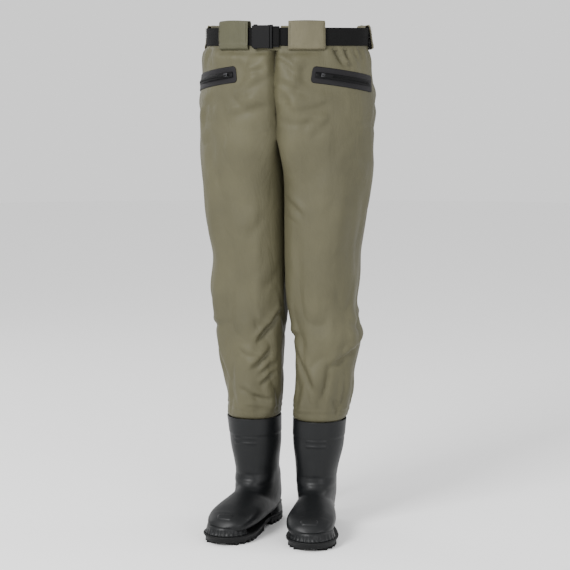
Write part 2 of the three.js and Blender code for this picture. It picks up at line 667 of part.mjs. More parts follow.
function addLeg({ name, side }) {
  const surface = (turn, z, inset) => legPoint(side, turn, z, inset);
  const thighTop = CROTCH - HIP_BAND_HEIGHT;
  const thighBottom = KNEE + KNEE_BAND_HALF_HEIGHT;
  const shinTop = KNEE - KNEE_BAND_HALF_HEIGHT;
  const softBand = (bottom, top) => {
    const heights = rowHeights(LEG_LEVELS, bottom + SEAM_GAP, top - SEAM_GAP);
    const rows = heights.length - 1;
    return ringWall((turn, v, w) => (
      surface(turn, heights[Math.round(v * rows)], w * FABRIC)
    ), LEG_STEPS, rows);
  };
  // The front half of a stretch of the leg, then the back half.
  const addHalves = (label, bottom, top) => {
    for (const [half, from] of [['front', -QUARTER], ['back', QUARTER]]) {
      const heights = rowHeights(LEG_LEVELS, bottom, top);
      const shape = fabricPanel(surface, from, from + 2 * QUARTER, heights, LEG_STEPS / 2);
      addPiece(`${label}_${half}_${name}`, shape, COLOURS.fabric, ROUGH_FABRIC);
    }
  };

  addPiece(`hip_band_${name}`, softBand(thighTop, CROTCH), COLOURS.fabric, ROUGH_FABRIC);
  addHalves('thigh_panel', thighBottom, thighTop);
  addPiece(`knee_band_${name}`, softBand(shinTop, thighBottom), COLOURS.fabric, ROUGH_FABRIC);
  addHalves('shin_panel', BOOT_TOP + SEAM_GAP, shinTop);
  // The cuff sleeve lines the joint between the leg and the boot.
  const sleeve = ringWall((turn, v, w) => {
    const inset = BOOT_WALL + SLEEVE_CLEARANCE + w * SLEEVE_THICKNESS;
    return surface(turn, BOOT_TOP + lerp(-SLEEVE_REACH, SLEEVE_REACH, v), inset);
  }, LEG_STEPS, 2);
  addPiece(`cuff_sleeve_${name}`, sleeve, COLOURS.bag, 0.9);
}

// ---- Boots, in their own frame: the ankle stands on the origin and the toe points to -Y ----

// Each section of the foot runs from a top point to a bottom point in the boot's middle plane.
const FOOT_SECTIONS = [
  { top: [-65, ANKLE - 1], bottom: [58, ANKLE - 1], halfWidth: 45 },
  { top: [-69, 108], bottom: [66, 88], halfWidth: 44 },
  { top: [-74, 103], bottom: [74, 62], halfWidth: 43 },
  { top: [-80, 99], bottom: [76, 40], halfWidth: 41 },
  { top: [-87, 95], bottom: [65, 23], halfWidth: 40 },
  { top: [-97, 91], bottom: [30, 22], halfWidth: 43 },
  { top: [-110, 86], bottom: [-20, 22], halfWidth: 47 },
  { top: [-128, 80], bottom: [-75, 22], halfWidth: 51 },
  { top: [-150, 73], bottom: [-125, 22], halfWidth: 52 },
  { top: [-170, 64], bottom: [-160, 22], halfWidth: 48 },
  { top: [-187, 53], bottom: [-184, 24], halfWidth: 37 },
  { top: [-196, 43], bottom: [-195, 30], halfWidth: 20 },
  { top: [-200, 37], bottom: [-200, 36], halfWidth: 1 },
];

const SHAFT_LEVELS = [
  { z: BOOT_TOP, half: 59, front: 66, back: 66 },
  { z: 190, half: 56, front: 64, back: 64 },
  { z: 150, half: 49, front: 64, back: 60 },
  { z: ANKLE, half: 45, front: 65, back: 58 },
];

// The sole's outline for the left boot, heel first and round by the outer edge.
const SOLE_OUTLINE = [
  [0, 86], [27, 77], [38, 45], [37, 0], [39, -50], [50, -100], [55, -140], [49, -176], [29, -201],
  [3, -209], [-23, -200], [-43, -174], [-49, -135], [-43, -85], [-35, -20], [-37, 40], [-27, 76],
];

// The shaft leans from the ankle to the leg, which the toe-out turn carries with it.
const LEAN = vector(SHAFT_LEAN, 0, 0).applyAxisAngle(vector(0, 0, 1), -radians(TOE_OUT));

function shaftPoint(side, turn, z, inset) {
  const share = (z - ANKLE) / (BOOT_TOP - ANKLE);
  const half = atHeight(SHAFT_LEVELS, z, 'half') - inset;
  const depth = atHeight(SHAFT_LEVELS, z, Math.cos(turn) > 0 ? 'front' : 'back') - inset;
  const x = half * Math.sin(turn) + LEAN.x * share;
  return vector(side * x, -depth * Math.cos(turn) + LEAN.y * share, z);
}

function footPoint(side, turn, ring, inset) {
  const section = FOOT_SECTIONS[ring];
  const top = vector(0, ...section.top);
  const bottom = vector(0, ...section.bottom);
  const centre = top.clone().add(bottom).multiplyScalar(0.5);
  const reach = top.clone().sub(centre);
  const limit = Math.max(0.02, 1 - inset / reach.length());
  const half = Math.max(0.05, section.halfWidth - inset);
  const power = Math.cos(turn) > 0 ? 0.85 : 0.6; // the lower half is squarer
  const squared = (value) => Math.sign(value) * Math.abs(value) ** power;
  centre.addScaledVector(reach, squared(Math.cos(turn)) * limit);
  if (ring >= FOOT_SECTIONS.length - 2) centre.y += inset;
  return vector(side * half * squared(Math.sin(turn)), centre.y, centre.z);
}

function soleCurve(side, grow) {
  const points = SOLE_OUTLINE.map(([x, y]) => {
    const middle = vector(0, Math.max(-150, Math.min(30, y)), 0);
    const out = vector(x, y, 0).sub(middle).normalize();
    return vector(side * (x + out.x * grow), y + out.y * grow, 0);
  });
  return new THREE.CatmullRomCurve3(points, true, 'centripetal');
}

const SOLE_STEPS = 34;
const HEEL_BREAST = 8; // how far forward of the ankle the outsole steps up over the heel block
const SOLE_REACH = 220; // longer than the sole in every direction

function soleBlank(side, grow, bottom, top) {
  const points = soleCurve(side, grow).getPoints(SOLE_STEPS).slice(0, -1);
  const outline = new THREE.Shape(points.map((p) => new THREE.Vector2(p.x, p.y)));
  const blank = new THREE.ExtrudeGeometry(outline, { depth: top - bottom, bevelEnabled: false });
  return closeSolid(blank.translate(0, 0, bottom));
}

// A slab across the whole sole, up from the floor.
function soleSlab(from, to, height) {
  return block(vector(-SOLE_REACH, from, -1), vector(SOLE_REACH, to, height));
}

function addSoles({ name, side }, boot) {
  const breast = -HEEL_BREAST;
  const heelTop = SOLE_THICKNESS - HEEL_SEAT;
  const soleCuts = [
    soleSlab(breast, SOLE_REACH, heelTop),
    soleSlab(breast - ARCH_LENGTH, breast + 1, ARCH_RISE),
  ];
  for (let y = breast - TREAD_PITCH; y > -SOLE_REACH; y -= TREAD_PITCH) {
    soleCuts.push(soleSlab(y - TREAD_GROOVE, y, TREAD_DEPTH));
  }
  const sole = cut(soleBlank(side, 0, 0, SOLE_THICKNESS), soleCuts);
  addPiece(`outsole_${name}`, sole, COLOURS.sole, 0.7, 0, boot);

  const heelCuts = [soleSlab(-SOLE_REACH, breast + SEAM_GAP, SOLE_REACH)];
  for (let y = breast + TREAD_PITCH; y < SOLE_REACH; y += TREAD_PITCH) {
    heelCuts.push(soleSlab(y, y + TREAD_GROOVE, TREAD_DEPTH));
  }
  const heel = cut(soleBlank(side, HEEL_FLARE, 0, heelTop - SEAM_GAP), heelCuts);
  addPiece(`heel_block_${name}`, heel, COLOURS.sole, 0.7, 0, boot);
}

// A raised band round part of the foot, standing on the sole's edge and leaning in a little.
function rimBand(side, from, to, steps) {
  const curve = soleCurve(side, 0);
  return bentPlate((u, v, w) => {
    const share = (lerp(from, to, u) + 1) % 1;
    const point = curve.getPoint(share);
    const along = curve.getTangent(share);
    const outwards = vector(along.y, -along.x, 0).multiplyScalar(side);
    const thickness = lerp(RIM_THICKNESS, RIM_THICKNESS / 2, v);
    point.addScaledVector(outwards, -lerp(RIM_SETBACK, RIM_SETBACK + RIM_LEAN, v) - w * thickness);
    return vector(point.x, point.y, SOLE_THICKNESS + SEAM_GAP + RIM_HEIGHT * v);
  }, steps, 2);
}

function addBoot({ name, side }) {
  const boot = new THREE.Group();
  boot.position.x = side * BOOT_SPREAD;
  boot.rotation.z = side * radians(TOE_OUT);
  waders.add(boot);
  const rubber = (label, shape, roughness = 0.42) => (
    addPiece(`${label}_${name}`, shape, COLOURS.rubber, roughness, 0, boot)
  );
  rubber('boot_shaft', ringWall((turn, v, w) => (
    shaftPoint(side, turn, lerp(ANKLE, BOOT_TOP, v), w * BOOT_WALL)
  ), LEG_STEPS, 4));
  rubber('boot_collar', ringWall((turn, v, w) => {
    const out = SEAM_GAP + COLLAR_THICKNESS * (1 - w);
    return shaftPoint(side, turn, lerp(BOOT_TOP - COLLAR_HEIGHT, BOOT_TOP, v), -out);
  }, LEG_STEPS, 1));
  const last = FOOT_SECTIONS.length - 1;
  rubber('boot_foot', sockWall((turn, ring, w) => (
    footPoint(side, ring === last ? 0 : turn, ring, w * BOOT_WALL)
  ), FOOT_STEPS, last));
  rubber('toe_bumper', rimBand(side, ...TOE_SPAN, 12), 0.6);
  rubber('heel_counter', rimBand(side, ...HEEL_SPAN, 8), 0.6);
  const insole = soleBlank(side, -INSOLE_INSET, INSOLE_BOTTOM, INSOLE_BOTTOM + INSOLE_THICKNESS);
  addPiece(`insole_${name}`, insole, COLOURS.insole, 0.9, 0, boot);
  addSoles({ name, side }, boot);
}

addHips();
addGusset();
addLoops();
addBeltAndBuckle();
for (const half of SIDES) {
  addPocket(half);
  addLeg(half);
  addBoot(half);
}

// The origin is the middle of the footprint, on the floor.
const bounds = new THREE.Box3().setFromObject(waders);
waders.position.set(-(bounds.min.x + bounds.max.x) / 2, -(bounds.min.y + bounds.max.y) / 2, -bounds.min.z);

export default waders;
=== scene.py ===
"""Bootfoot waist waders: coated fabric trousers on rubber boots, with a webbing belt and two zip pockets.

Metres, +Z up. The wearer's front faces -Y and the wearer's left side is +X. The soles stand on z = 0.
"""

import json
import math

import bmesh
import bpy
from bpy.props import FloatProperty, FloatVectorProperty, PointerProperty
from mathutils import Matrix, Vector, noise


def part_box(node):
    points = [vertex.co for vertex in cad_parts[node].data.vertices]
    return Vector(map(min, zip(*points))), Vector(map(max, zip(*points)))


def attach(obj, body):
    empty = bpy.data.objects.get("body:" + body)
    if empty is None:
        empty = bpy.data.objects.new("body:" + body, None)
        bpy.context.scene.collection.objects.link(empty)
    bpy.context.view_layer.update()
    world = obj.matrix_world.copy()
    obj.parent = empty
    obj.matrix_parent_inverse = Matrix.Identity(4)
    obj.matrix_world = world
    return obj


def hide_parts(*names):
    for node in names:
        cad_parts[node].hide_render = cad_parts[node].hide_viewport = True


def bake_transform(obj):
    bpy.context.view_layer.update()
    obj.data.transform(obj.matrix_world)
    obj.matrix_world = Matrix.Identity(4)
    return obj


bl_info = {
    "name": "Bootfoot Waders",
    "version": (1, 0, 0),
    "blender": (4, 5, 0),
    "location": "View3D > Sidebar > Waders",
    "description": "Builds waist-high bootfoot waders over their CAD frame",
    "category": "Object",
}

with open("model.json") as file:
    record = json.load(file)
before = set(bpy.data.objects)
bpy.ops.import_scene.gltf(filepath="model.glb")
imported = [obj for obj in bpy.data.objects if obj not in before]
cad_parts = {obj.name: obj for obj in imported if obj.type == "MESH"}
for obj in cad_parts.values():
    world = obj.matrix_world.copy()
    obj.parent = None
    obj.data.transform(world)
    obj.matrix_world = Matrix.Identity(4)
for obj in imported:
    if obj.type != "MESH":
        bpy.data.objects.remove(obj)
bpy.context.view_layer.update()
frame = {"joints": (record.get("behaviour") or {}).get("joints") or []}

SIDES = (("left", 1), ("right", -1))


# ---- Places taken from the frame ----

def span(*nodes):
    """Lowest and highest corner of several nodes together."""
    boxes = [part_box(node) for node in nodes]
    low = Vector([min(box[0][k] for box in boxes) for k in range(3)])
    high = Vector([max(box[1][k] for box in boxes) for k in range(3)])
    return low, high


BAND_LOW, BAND_HIGH = span("waistband_front", "waistband_back")
BELT_LOW, BELT_HIGH = span("belt")
SOCKET_LOW, SOCKET_HIGH = span("buckle_socket")
PLUG_LOW, PLUG_HIGH = span("buckle_plug")
TAIL_HIGH = span("belt_tail")[1]
SHAFT_LOW, SHAFT_HIGH = span("boot_shaft_left")
MIDDLE_Y = (BAND_LOW.y + BAND_HIGH.y) / 2
WAIST_TOP = BAND_HIGH.z
WAIST_BOTTOM = BAND_LOW.z
WAIST_HALF_WIDTH = BAND_HIGH.x
WAIST_HALF_DEPTH = (BAND_HIGH.y - BAND_LOW.y) / 2
BELT_BOTTOM, BELT_TOP = BELT_LOW.z, BELT_HIGH.z
BELT_LEVEL = (BELT_BOTTOM + BELT_TOP) / 2
BOOT_TOP = SHAFT_HIGH.z
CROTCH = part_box("hip_band_left")[1][2]

# ---- Sizes that follow the CAD source, in metres ----

FABRIC = 0.0024
WEBBING = 0.0022
BELT_CLEARANCE = 0.0008
LOOP_CLEARANCE = 0.0042
LOOP_FOOT = 0.0015
# Level, half width and half depth of the hips.
HIP_LEVELS = (
    (WAIST_TOP, WAIST_HALF_WIDTH, WAIST_HALF_DEPTH),
    (WAIST_BOTTOM + 0.012, WAIST_HALF_WIDTH, WAIST_HALF_DEPTH),
    (1.0, 0.189, 0.128),
    (0.93, 0.195, 0.131),
    (CROTCH, 0.193, 0.131),
    (0.8, 0.19, 0.131),
)
# Level, outer edge, inner edge and half depth of a leg.
LEG_LEVELS = (
    (0.905, 0.194, 0.0015, 0.117),
    (0.859, 0.193, 0.0015, 0.113),
    (0.73, 0.183, 0.0015, 0.105),
    (0.62, 0.169, 0.0015, 0.095),
    (0.573, 0.165, 0.0025, 0.0895),
    (0.51, 0.160, 0.0055, 0.083),
    (0.40, 0.155, 0.015, 0.077),
    (0.33, 0.145, 0.017, 0.072),
    (0.25, 0.134, 0.016, 0.066),
    (0.22, 0.13, 0.0165, 0.063),
)
BOOT_SPREAD = 0.068
TOE_OUT = math.radians(8)
SHAFT_LEAN = 0.007
ANKLE = SHAFT_LOW.z
BOOT_WALL = 0.003
# Level, half width, reach ahead and reach behind of a boot's shaft.
SHAFT_LEVELS = (
    (0.25, 0.059, 0.066, 0.066),
    (0.19, 0.056, 0.064, 0.064),
    (0.15, 0.049, 0.064, 0.060),
    (0.117, 0.045, 0.065, 0.058),
)
# Sections of the foot from the ankle to the toe: y and z of its top and of its bottom, then its half width.
FOOT_SECTIONS = (
    (-0.065, 0.116, 0.058, 0.116, 0.045),
    (-0.069, 0.108, 0.066, 0.088, 0.044),
    (-0.074, 0.103, 0.074, 0.062, 0.043),
    (-0.080, 0.099, 0.076, 0.040, 0.041),
    (-0.087, 0.095, 0.065, 0.023, 0.040),
    (-0.097, 0.091, 0.030, 0.022, 0.043),
    (-0.110, 0.086, -0.020, 0.022, 0.047),
    (-0.128, 0.080, -0.075, 0.022, 0.051),
    (-0.150, 0.073, -0.125, 0.022, 0.052),
    (-0.170, 0.064, -0.160, 0.022, 0.048),
    (-0.187, 0.053, -0.184, 0.024, 0.037),
    (-0.196, 0.043, -0.195, 0.030, 0.020),
    (-0.200, 0.037, -0.200, 0.036, 0.001),
)
# The sole's outline in millimetres, from the heel round by the outer side.
SOLE_OUTLINE = (
    (0, 86), (27, 77), (38, 45), (37, 0), (39, -50), (50, -100), (55, -140), (49, -176), (29, -201),
    (3, -209), (-23, -200), (-43, -174), (-49, -135), (-43, -85), (-35, -20), (-37, 40), (-27, 76),
)
SOLE_THICKNESS = 0.020
TREAD_DEPTH = 0.006
HEEL_SEAT = 0.006
HEEL_BREAST = -0.008
ARCH_LENGTH = 0.046
ARCH_RISE = 0.009
# Degrees from the front of a pocket's ends, the level of its inner end and its drop to the outer end.
POCKET_INNER, POCKET_OUTER = 26.0, 84.0
POCKET_LEVEL, POCKET_DROP = 1.007, 0.022
FACING_HEIGHT = 0.036
FACING_LENGTH = 0.1562
ZIP_END = 0.015
SLIDER_GAP = 0.004
SLIDER_HALF_LENGTH = 0.0055
SLIDER_RISE = 0.0032


# ---- Small tools ----

def clamp(value, low=0.0, high=1.0):
    return max(low, min(high, value))


def mix(a, b, share):
    return a + (b - a) * share


def ease(share):
    share = clamp(share)
    return share * share * (3 - 2 * share)


def bell(offset, width):
    return math.exp(-(offset / width) ** 2)


def at_level(levels, z, column):
    """A smooth curve through the levels, which run from top to bottom."""
    if z >= levels[0][0]:
        return levels[0][column]
    if z <= levels[-1][0]:
        return levels[-1][column]
    low = next(i for i, level in enumerate(levels) if level[0] <= z)
    high = low - 1

    def slope(i):
        a, b = levels[max(i - 1, 0)], levels[min(i + 1, len(levels) - 1)]
        return (b[column] - a[column]) / (b[0] - a[0])

    length = levels[low][0] - levels[high][0]
    t = (z - levels[high][0]) / length
    start, end = levels[high][column], levels[low][column]
    return (
        (2 * t ** 3 - 3 * t ** 2 + 1) * start + (t ** 3 - 2 * t ** 2 + t) * length * slope(high)
        + (3 * t ** 2 - 2 * t ** 3) * end + (t ** 3 - t ** 2) * length * slope(low)
    )


def between(p0, p1, p2, p3, t):
    """A point between p1 and p2 on a smooth curve through all four."""
    return 0.5 * (
        2 * p1 + (p2 - p0) * t
        + (2 * p0 - 5 * p1 + 4 * p2 - p3) * t * t
        + (3 * p1 - p0 - 3 * p2 + p3) * t ** 3
    )


def ripple(x, y, z, seed=0.0):
    return noise.noise(Vector((x + seed, y - seed, z + 0.37 * seed)))


def warped_grid(bm, across, up, place):
    """A grid of faces whose vertices go where place(column, row) says. Returns its faces."""
    made = bmesh.ops.create_grid(bm, x_segments=across, y_segments=up, size=1.0, calc_uvs=True)["verts"]
    for vert in made:
        column = round((vert.co.x + 1) / 2 * across)
        row = round((vert.co.y + 1) / 2 * up)
        vert.co = place(column, row)
    return list({face for vert in made for face in vert.link_faces})


def new_bmesh():
    bm = bmesh.new()
    bm.loops.layers.uv.new("UVMap")
    return bm


def scale_uv(bm, across, up):
    """Turns UVs from shares of the grid into metres."""
    layer = bm.loops.layers.uv.active
    for face in bm.faces:
        for loop in face.loops:
            loop[layer].uv = (loop[layer].uv[0] * across, loop[layer].uv[1] * up)


def to_object(bm, name, materials, smooth=True, merge=2e-5):
    if merge:
        bmesh.ops.remove_doubles(bm, verts=bm.verts, dist=merge)
    bmesh.ops.recalc_face_normals(bm, faces=bm.faces)
    mesh = bpy.data.meshes.new(name)
    bm.to_mesh(mesh)
    bm.free()
    for material in materials:
        mesh.materials.append(material)
    if smooth:
        mesh.shade_smooth()
    obj = bpy.data.objects.new(name, mesh)
    bpy.context.scene.collection.objects.link(obj)
    return obj


def modifier(obj, kind, **settings):
    made = obj.modifiers.new(kind.title(), kind)
    for key, value in settings.items():
        setattr(made, key, value)


def bake(obj):
    """Applies every modifier."""
    graph = bpy.context.evaluated_depsgraph_get()
    mesh = bpy.data.meshes.new_from_object(obj.evaluated_get(graph))
    old = obj.data
    obj.modifiers.clear()
    obj.data = mesh
    bpy.data.meshes.remove(old)
    mesh.name = obj.name


def rounded(obj, width, segments=2):
    modifier(obj, "BEVEL", width=width, segments=segments, limit_method="ANGLE", harden_normals=False)
    modifier(obj, "WEIGHTED_NORMAL", keep_sharp=False)


def thick(obj, amount, offset=-1.0):
    modifier(obj, "SOLIDIFY", thickness=amount, offset=offset)


def fill_holes(bm):
    bmesh.ops.holes_fill(bm, edges=[edge for edge in bm.edges if edge.is_boundary], sides=0)


def swept(bm, frames, section, closed=False):
    """A closed section carried along frames of (origin, sideways, upwards). Open ends are capped."""
    count = len(section)
    rows = len(frames) if closed else len(frames) - 1

    def place(column, row):
        origin, sideways, upwards = frames[row % len(frames)]
        a, b = section[column % count]
        return origin + sideways * a + upwards * b

    faces = warped_grid(bm, count, rows, place)
    if not closed:
        bmesh.ops.remove_doubles(bm, verts=list({v for f in faces for v in f.verts}), dist=1e-6)
        fill_holes(bm)


def slab(half_thick, half_wide, corner, steps=8):
    """Section of a flat strap: thickness sideways and width upwards, with rounded corners."""
    points = []
    for sign_a, sign_b, start in ((1, -1, -90), (1, 1, 0), (-1, 1, 90), (-1, -1, 180)):
        for k in range(3):
            angle = math.radians(start + 45 * k)
            points.append((
                sign_a * (half_thick - corner) + corner * math.cos(angle),
                sign_b * (half_wide - corner) + corner * math.sin(angle),
            ))
        if sign_a != sign_b:
            face = points[-1][0]
            reach = sign_b * (half_wide - corner)
            points += [(face, mix(reach, -reach, k / steps)) for k in range(1, steps)]
    return points


def brick(bm, low, high, matrix=Matrix.Identity(4)):
    size = Vector(high) - Vector(low)
    centre = (Vector(high) + Vector(low)) / 2
    place = matrix @ Matrix.Translation(centre) @ Matrix.Diagonal((*size, 1.0))
    return bmesh.ops.create_cube(bm, size=1.0, matrix=place)["verts"]


# ---- Materials ----

class Value:
    """A shader socket that takes ordinary arithmetic."""

    def __init__(self, shader, socket):
        self.shader = shader
        self.socket = socket

    def _with(self, operation, a, b):
        node = self.shader.node("ShaderNodeMath", {"operation": operation}, {0: a, 1: b})
        return Value(self.shader, node.outputs[0])

    def __add__(self, other):
        return self._with("ADD", self, other)

    def __radd__(self, other):
        return self._with("ADD", other, self)

    def __sub__(self, other):
        return self._with("SUBTRACT", self, other)

    def __rsub__(self, other):
        return self._with("SUBTRACT", other, self)

    def __mul__(self, other):
        return self._with("MULTIPLY", self, other)

    def __rmul__(self, other):
        return self._with("MULTIPLY", other, self)

    def __truediv__(self, other):
        return self._with("DIVIDE", self, other)

    def __rtruediv__(self, other):
        return self._with("DIVIDE", other, self)

    def sine(self):
        return self._with("SINE", self, 0.0)


class Shader:
    """A procedural material under construction."""

    def __init__(self, name, **values):
        self.material = bpy.data.materials.new(name)
        self.material.use_nodes = True
        self.tree = self.material.node_tree
        self.surface = self.tree.nodes["Principled BSDF"]
        for key, value in values.items():
            self.surface.inputs[key.replace("_", " ")].default_value = value

    def node(self, kind, settings, inputs):
        made = self.tree.nodes.new(kind)
        for key, value in settings.items():
            setattr(made, key, value)
        for key, value in inputs.items():
            if isinstance(value, Value):
                self.tree.links.new(value.socket, made.inputs[key])
            else:
                made.inputs[key].default_value = value
        return made

    def coordinates(self, scale=(1, 1, 1), output="Object"):
        source = Value(self, self.node("ShaderNodeTexCoord", {}, {}).outputs[output])
        node = self.node("ShaderNodeMapping", {}, {"Vector": source, "Scale": scale})
        return Value(self, node.outputs[0])

    def axis(self, vector, letter):
        node = self.node("ShaderNodeSeparateXYZ", {}, {0: vector})
        return Value(self, node.outputs[letter])

    def noise(self, vector, scale, detail=3.0, roughness=0.5, distortion=0.0):
        node = self.node("ShaderNodeTexNoise", {}, {
            "Vector": vector, "Scale": scale, "Detail": detail, "Roughness": roughness,
            "Distortion": distortion,
        })
        return Value(self, node.outputs["Fac"])

    def blend(self, factor, a, b):
        node = self.node("ShaderNodeMix", {"data_type": "RGBA"}, {0: factor, 6: a, 7: b})
        return Value(self, node.outputs[2])

    def bump(self, height, distance, strength=1.0):
        node = self.node("ShaderNodeBump", {}, {"Height": height, "Distance": distance, "Strength": strength})
        self.drive("Normal", Value(self, node.outputs[0]))

    def drive(self, name, value):
        self.tree.links.new(value.socket, self.surface.inputs[name])


def rgba(colour, factor=1.0):
    return tuple(clamp(part * factor) for part in colour[:3]) + (1.0,)


def fabric_material(name, colour, rough=0.62):
    """Coated cloth: broad tones, partly random and partly painted patches of shade and light, long soft
    crinkles and a very fine weave.
    """
    shader = Shader(name, Roughness=rough, Specular_IOR_Level=0.28)
    place = shader.coordinates()
    broad = shader.noise(place, 5.5, 2.0, 0.5) * 0.6 + shader.noise(place, 15.0, 3.0, 0.55) * 0.4
    fine = shader.noise(place, 42.0, 3.0, 0.6)
    # Broad tone patches in the base colour: partly random tone, partly painted shade and light for the patchy
    # lighting on the cloth.
    tone = shader.blend((broad - 0.28) * 2.2, rgba(colour, 0.79), rgba(colour, 1.21))
    shader.drive("Base Color", tone)
    shader.drive("Roughness", rough - 0.06 + 0.12 * fine)
    long = shader.coordinates((1.0, 1.0, 0.45))
    crinkle = shader.noise(long, 26.0, 5.0, 0.55, 0.9)
    weave = shader.noise(place, 1900.0, 2.0, 0.5)
    shader.bump(crinkle * 0.0042 + weave * 0.00006, 1.0, 0.62)
    return shader.material


RIB_PITCH = 0.0019
TWILL_PITCH = 0.0026


def webbing_material(name, colour):
    """Woven strap: ribs along it, crossed by a twill."""
    shader = Shader(name, Base_Color=rgba(colour), Roughness=0.85, Specular_IOR_Level=0.1)
    place = shader.coordinates(output="UV")
    along = shader.axis(place, "X")
    across = shader.axis(place, "Y")
    rib = (across * (2 * math.pi / RIB_PITCH)).sine()
    twill = ((along + across * 0.6) * (2 * math.pi / TWILL_PITCH)).sine()
    grain = shader.noise(place, 900.0)
    shader.drive("Base Color", shader.blend(grain, rgba(colour, 0.8), rgba(colour, 1.35)))
    shader.bump(rib * 0.00018 + twill * 0.00009 + grain * 0.0001, 1.0, 0.9)
    return shader.material


def rubber_material(name, colour, rough, coat, grain_scale=60.0, grain=0.0003):
    """Moulded rubber: uneven tone and a fine grain under a thin gloss."""
    shader = Shader(name, Roughness=rough, Specular_IOR_Level=0.19, Coat_Weight=coat, Coat_Roughness=0.28)
    place = shader.coordinates()
    broad = shader.noise(place, 14.0, 4.0, 0.6)
    fine = shader.noise(place, grain_scale, 3.0, 0.6)
    shader.drive("Base Color", shader.blend(broad, rgba(colour, 0.82), rgba(colour, 1.18)))
    shader.drive("Roughness", rough - 0.05 + 0.1 * fine + 0.05 * broad)
    shader.bump(broad * 0.0016 + fine * grain, 1.0, 0.7)
    return shader.material


def plain_material(name, colour, rough, metallic=0.0, grain=0.0001):
    """Small hard pieces with a fine grain."""
    shader = Shader(name, Roughness=rough, Metallic=metallic, Specular_IOR_Level=0.12)
    place = shader.coordinates()
    fine = shader.noise(place, 350.0, 3.0, 0.6)
    shader.drive("Base Color", shader.blend(fine, rgba(colour, 0.88), rgba(colour, 1.12)))
    shader.drive("Roughness", rough - 0.05 + 0.1 * fine)
    shader.bump(fine * grain, 1.0, 0.8)
    return shader.material


MATERIALS = {}


def material(key):
    """The object's materials, made once from the colours in the panel."""
    if key not in MATERIALS:
        look = bpy.context.scene.waders_look
        makers = {
            "fabric": lambda: fabric_material("coated_nylon", look.fabric),
            "lining": lambda: fabric_material("fabric_backing", look.lining, 0.8),
            "webbing": lambda: webbing_material("belt_webbing", look.webbing),
            "buckle": lambda: plain_material("buckle_plastic", look.buckle, 0.5),
            "facing": lambda: rubber_material("welded_facing", look.facing, 0.6, 0.0, 500.0, 0.0001),
            "chain": lambda: plain_material("zip_coil", look.buckle, 0.5),
            "metal": lambda: plain_material("zip_metal", look.metal, 0.36, 0.7),
            "loops": lambda: fabric_material("loop_nylon", look.loops),
            # Darker copy of the loop nylon for the right front loop: painted shade.
            "loop_painted_shade": lambda: fabric_material("loop_painted_shade_nylon", look.loop_painted_shade),
            "rubber": lambda: rubber_material("boot_rubber", look.rubber, 0.44, 0.05),
            "sole": lambda: rubber_material("sole_rubber", look.sole, 0.6, 0.0, 220.0, 0.0004),
            # Pale grey rubber for the bead round the heel rim: a painted highlight on the rim's top edge.
            "line": lambda: plain_material("heel_highlight_rubber", look.line, 0.6),
            "insole": lambda: plain_material("insole_felt", look.insole, 0.95, 0.0, 0.0006),
            "thread": lambda: plain_material("thread", look.thread, 0.8),
        }
        MATERIALS[key] = makers[key]()
    return MATERIALS[key]


def finish_node(name, key):
    """Gives a CAD node that stays visible its material."""
    slots = bpy.data.objects[name].data.materials
    slots.clear()
    slots.append(material(key))


# ---- Trouser surface ----

# Creases on the hips and legs: turn and level of each end, width and depth. A turn is in degrees: 0 is the
# front, 90 the outer side. A softer ridge lies above each crease.
HIP_CREASES = {
    "left": (
        (12, 0.918, 40, 0.945, 0.010, 0.0040),
        (28, 0.880, 44, 0.930, 0.009, 0.0035),
        (42, 1.070, 49, 1.022, 0.0050, 0.0105),
        (49, 1.022, 57, 1.026, 0.0045, 0.0060),
        (52, 1.066, 56, 1.036, 0.0045, 0.0060),
        (62, 1.066, 66, 1.036, 0.0050, 0.0050),
        (6, 0.965, 14, 0.925, 0.006, 0.0040),
        (70, 0.985, 50, 0.960, 0.010, 0.0025),
        (3, 1.040, 13, 1.012, 0.0045, 0.0045),
        (4, 0.992, 20, 0.968, 0.0060, 0.0040),
        (6, 0.905, 30, 0.900, 0.0090, 0.0045),
        (24, 0.985, 46, 0.972, 0.0110, 0.0040),
        (118, 0.99, 96, 0.93, 0.012, 0.004),
        (150, 0.99, 168, 0.93, 0.012, 0.004),
        (140, 1.05, 134, 0.99, 0.008, 0.004),
        (110, 1.055, 106, 1.01, 0.007, 0.004),
    ),
    "right": (
        (4, 1.022, 14, 1.012, 0.0045, 0.0050),
        (20, 1.05, 16, 0.99, 0.008, 0.0030),
        (32, 0.97, 14, 0.93, 0.011, 0.0030),
        (52, 1.055, 48, 1.01, 0.007, 0.0035),
        (40, 0.90, 62, 0.94, 0.012, 0.0030),
        (5, 0.998, 20, 0.962, 0.0065, 0.0045),
        (6, 0.940, 28, 0.915, 0.0090, 0.0045),
        (28, 1.048, 24, 1.010, 0.0060, 0.0030),
        (44, 0.955, 60, 0.900, 0.0130, 0.0040),
        (112, 1.0, 92, 0.94, 0.012, 0.004),
        (152, 0.98, 166, 0.91, 0.012, 0.004),
        (128, 1.055, 122, 1.0, 0.008, 0.004),
    ),
}
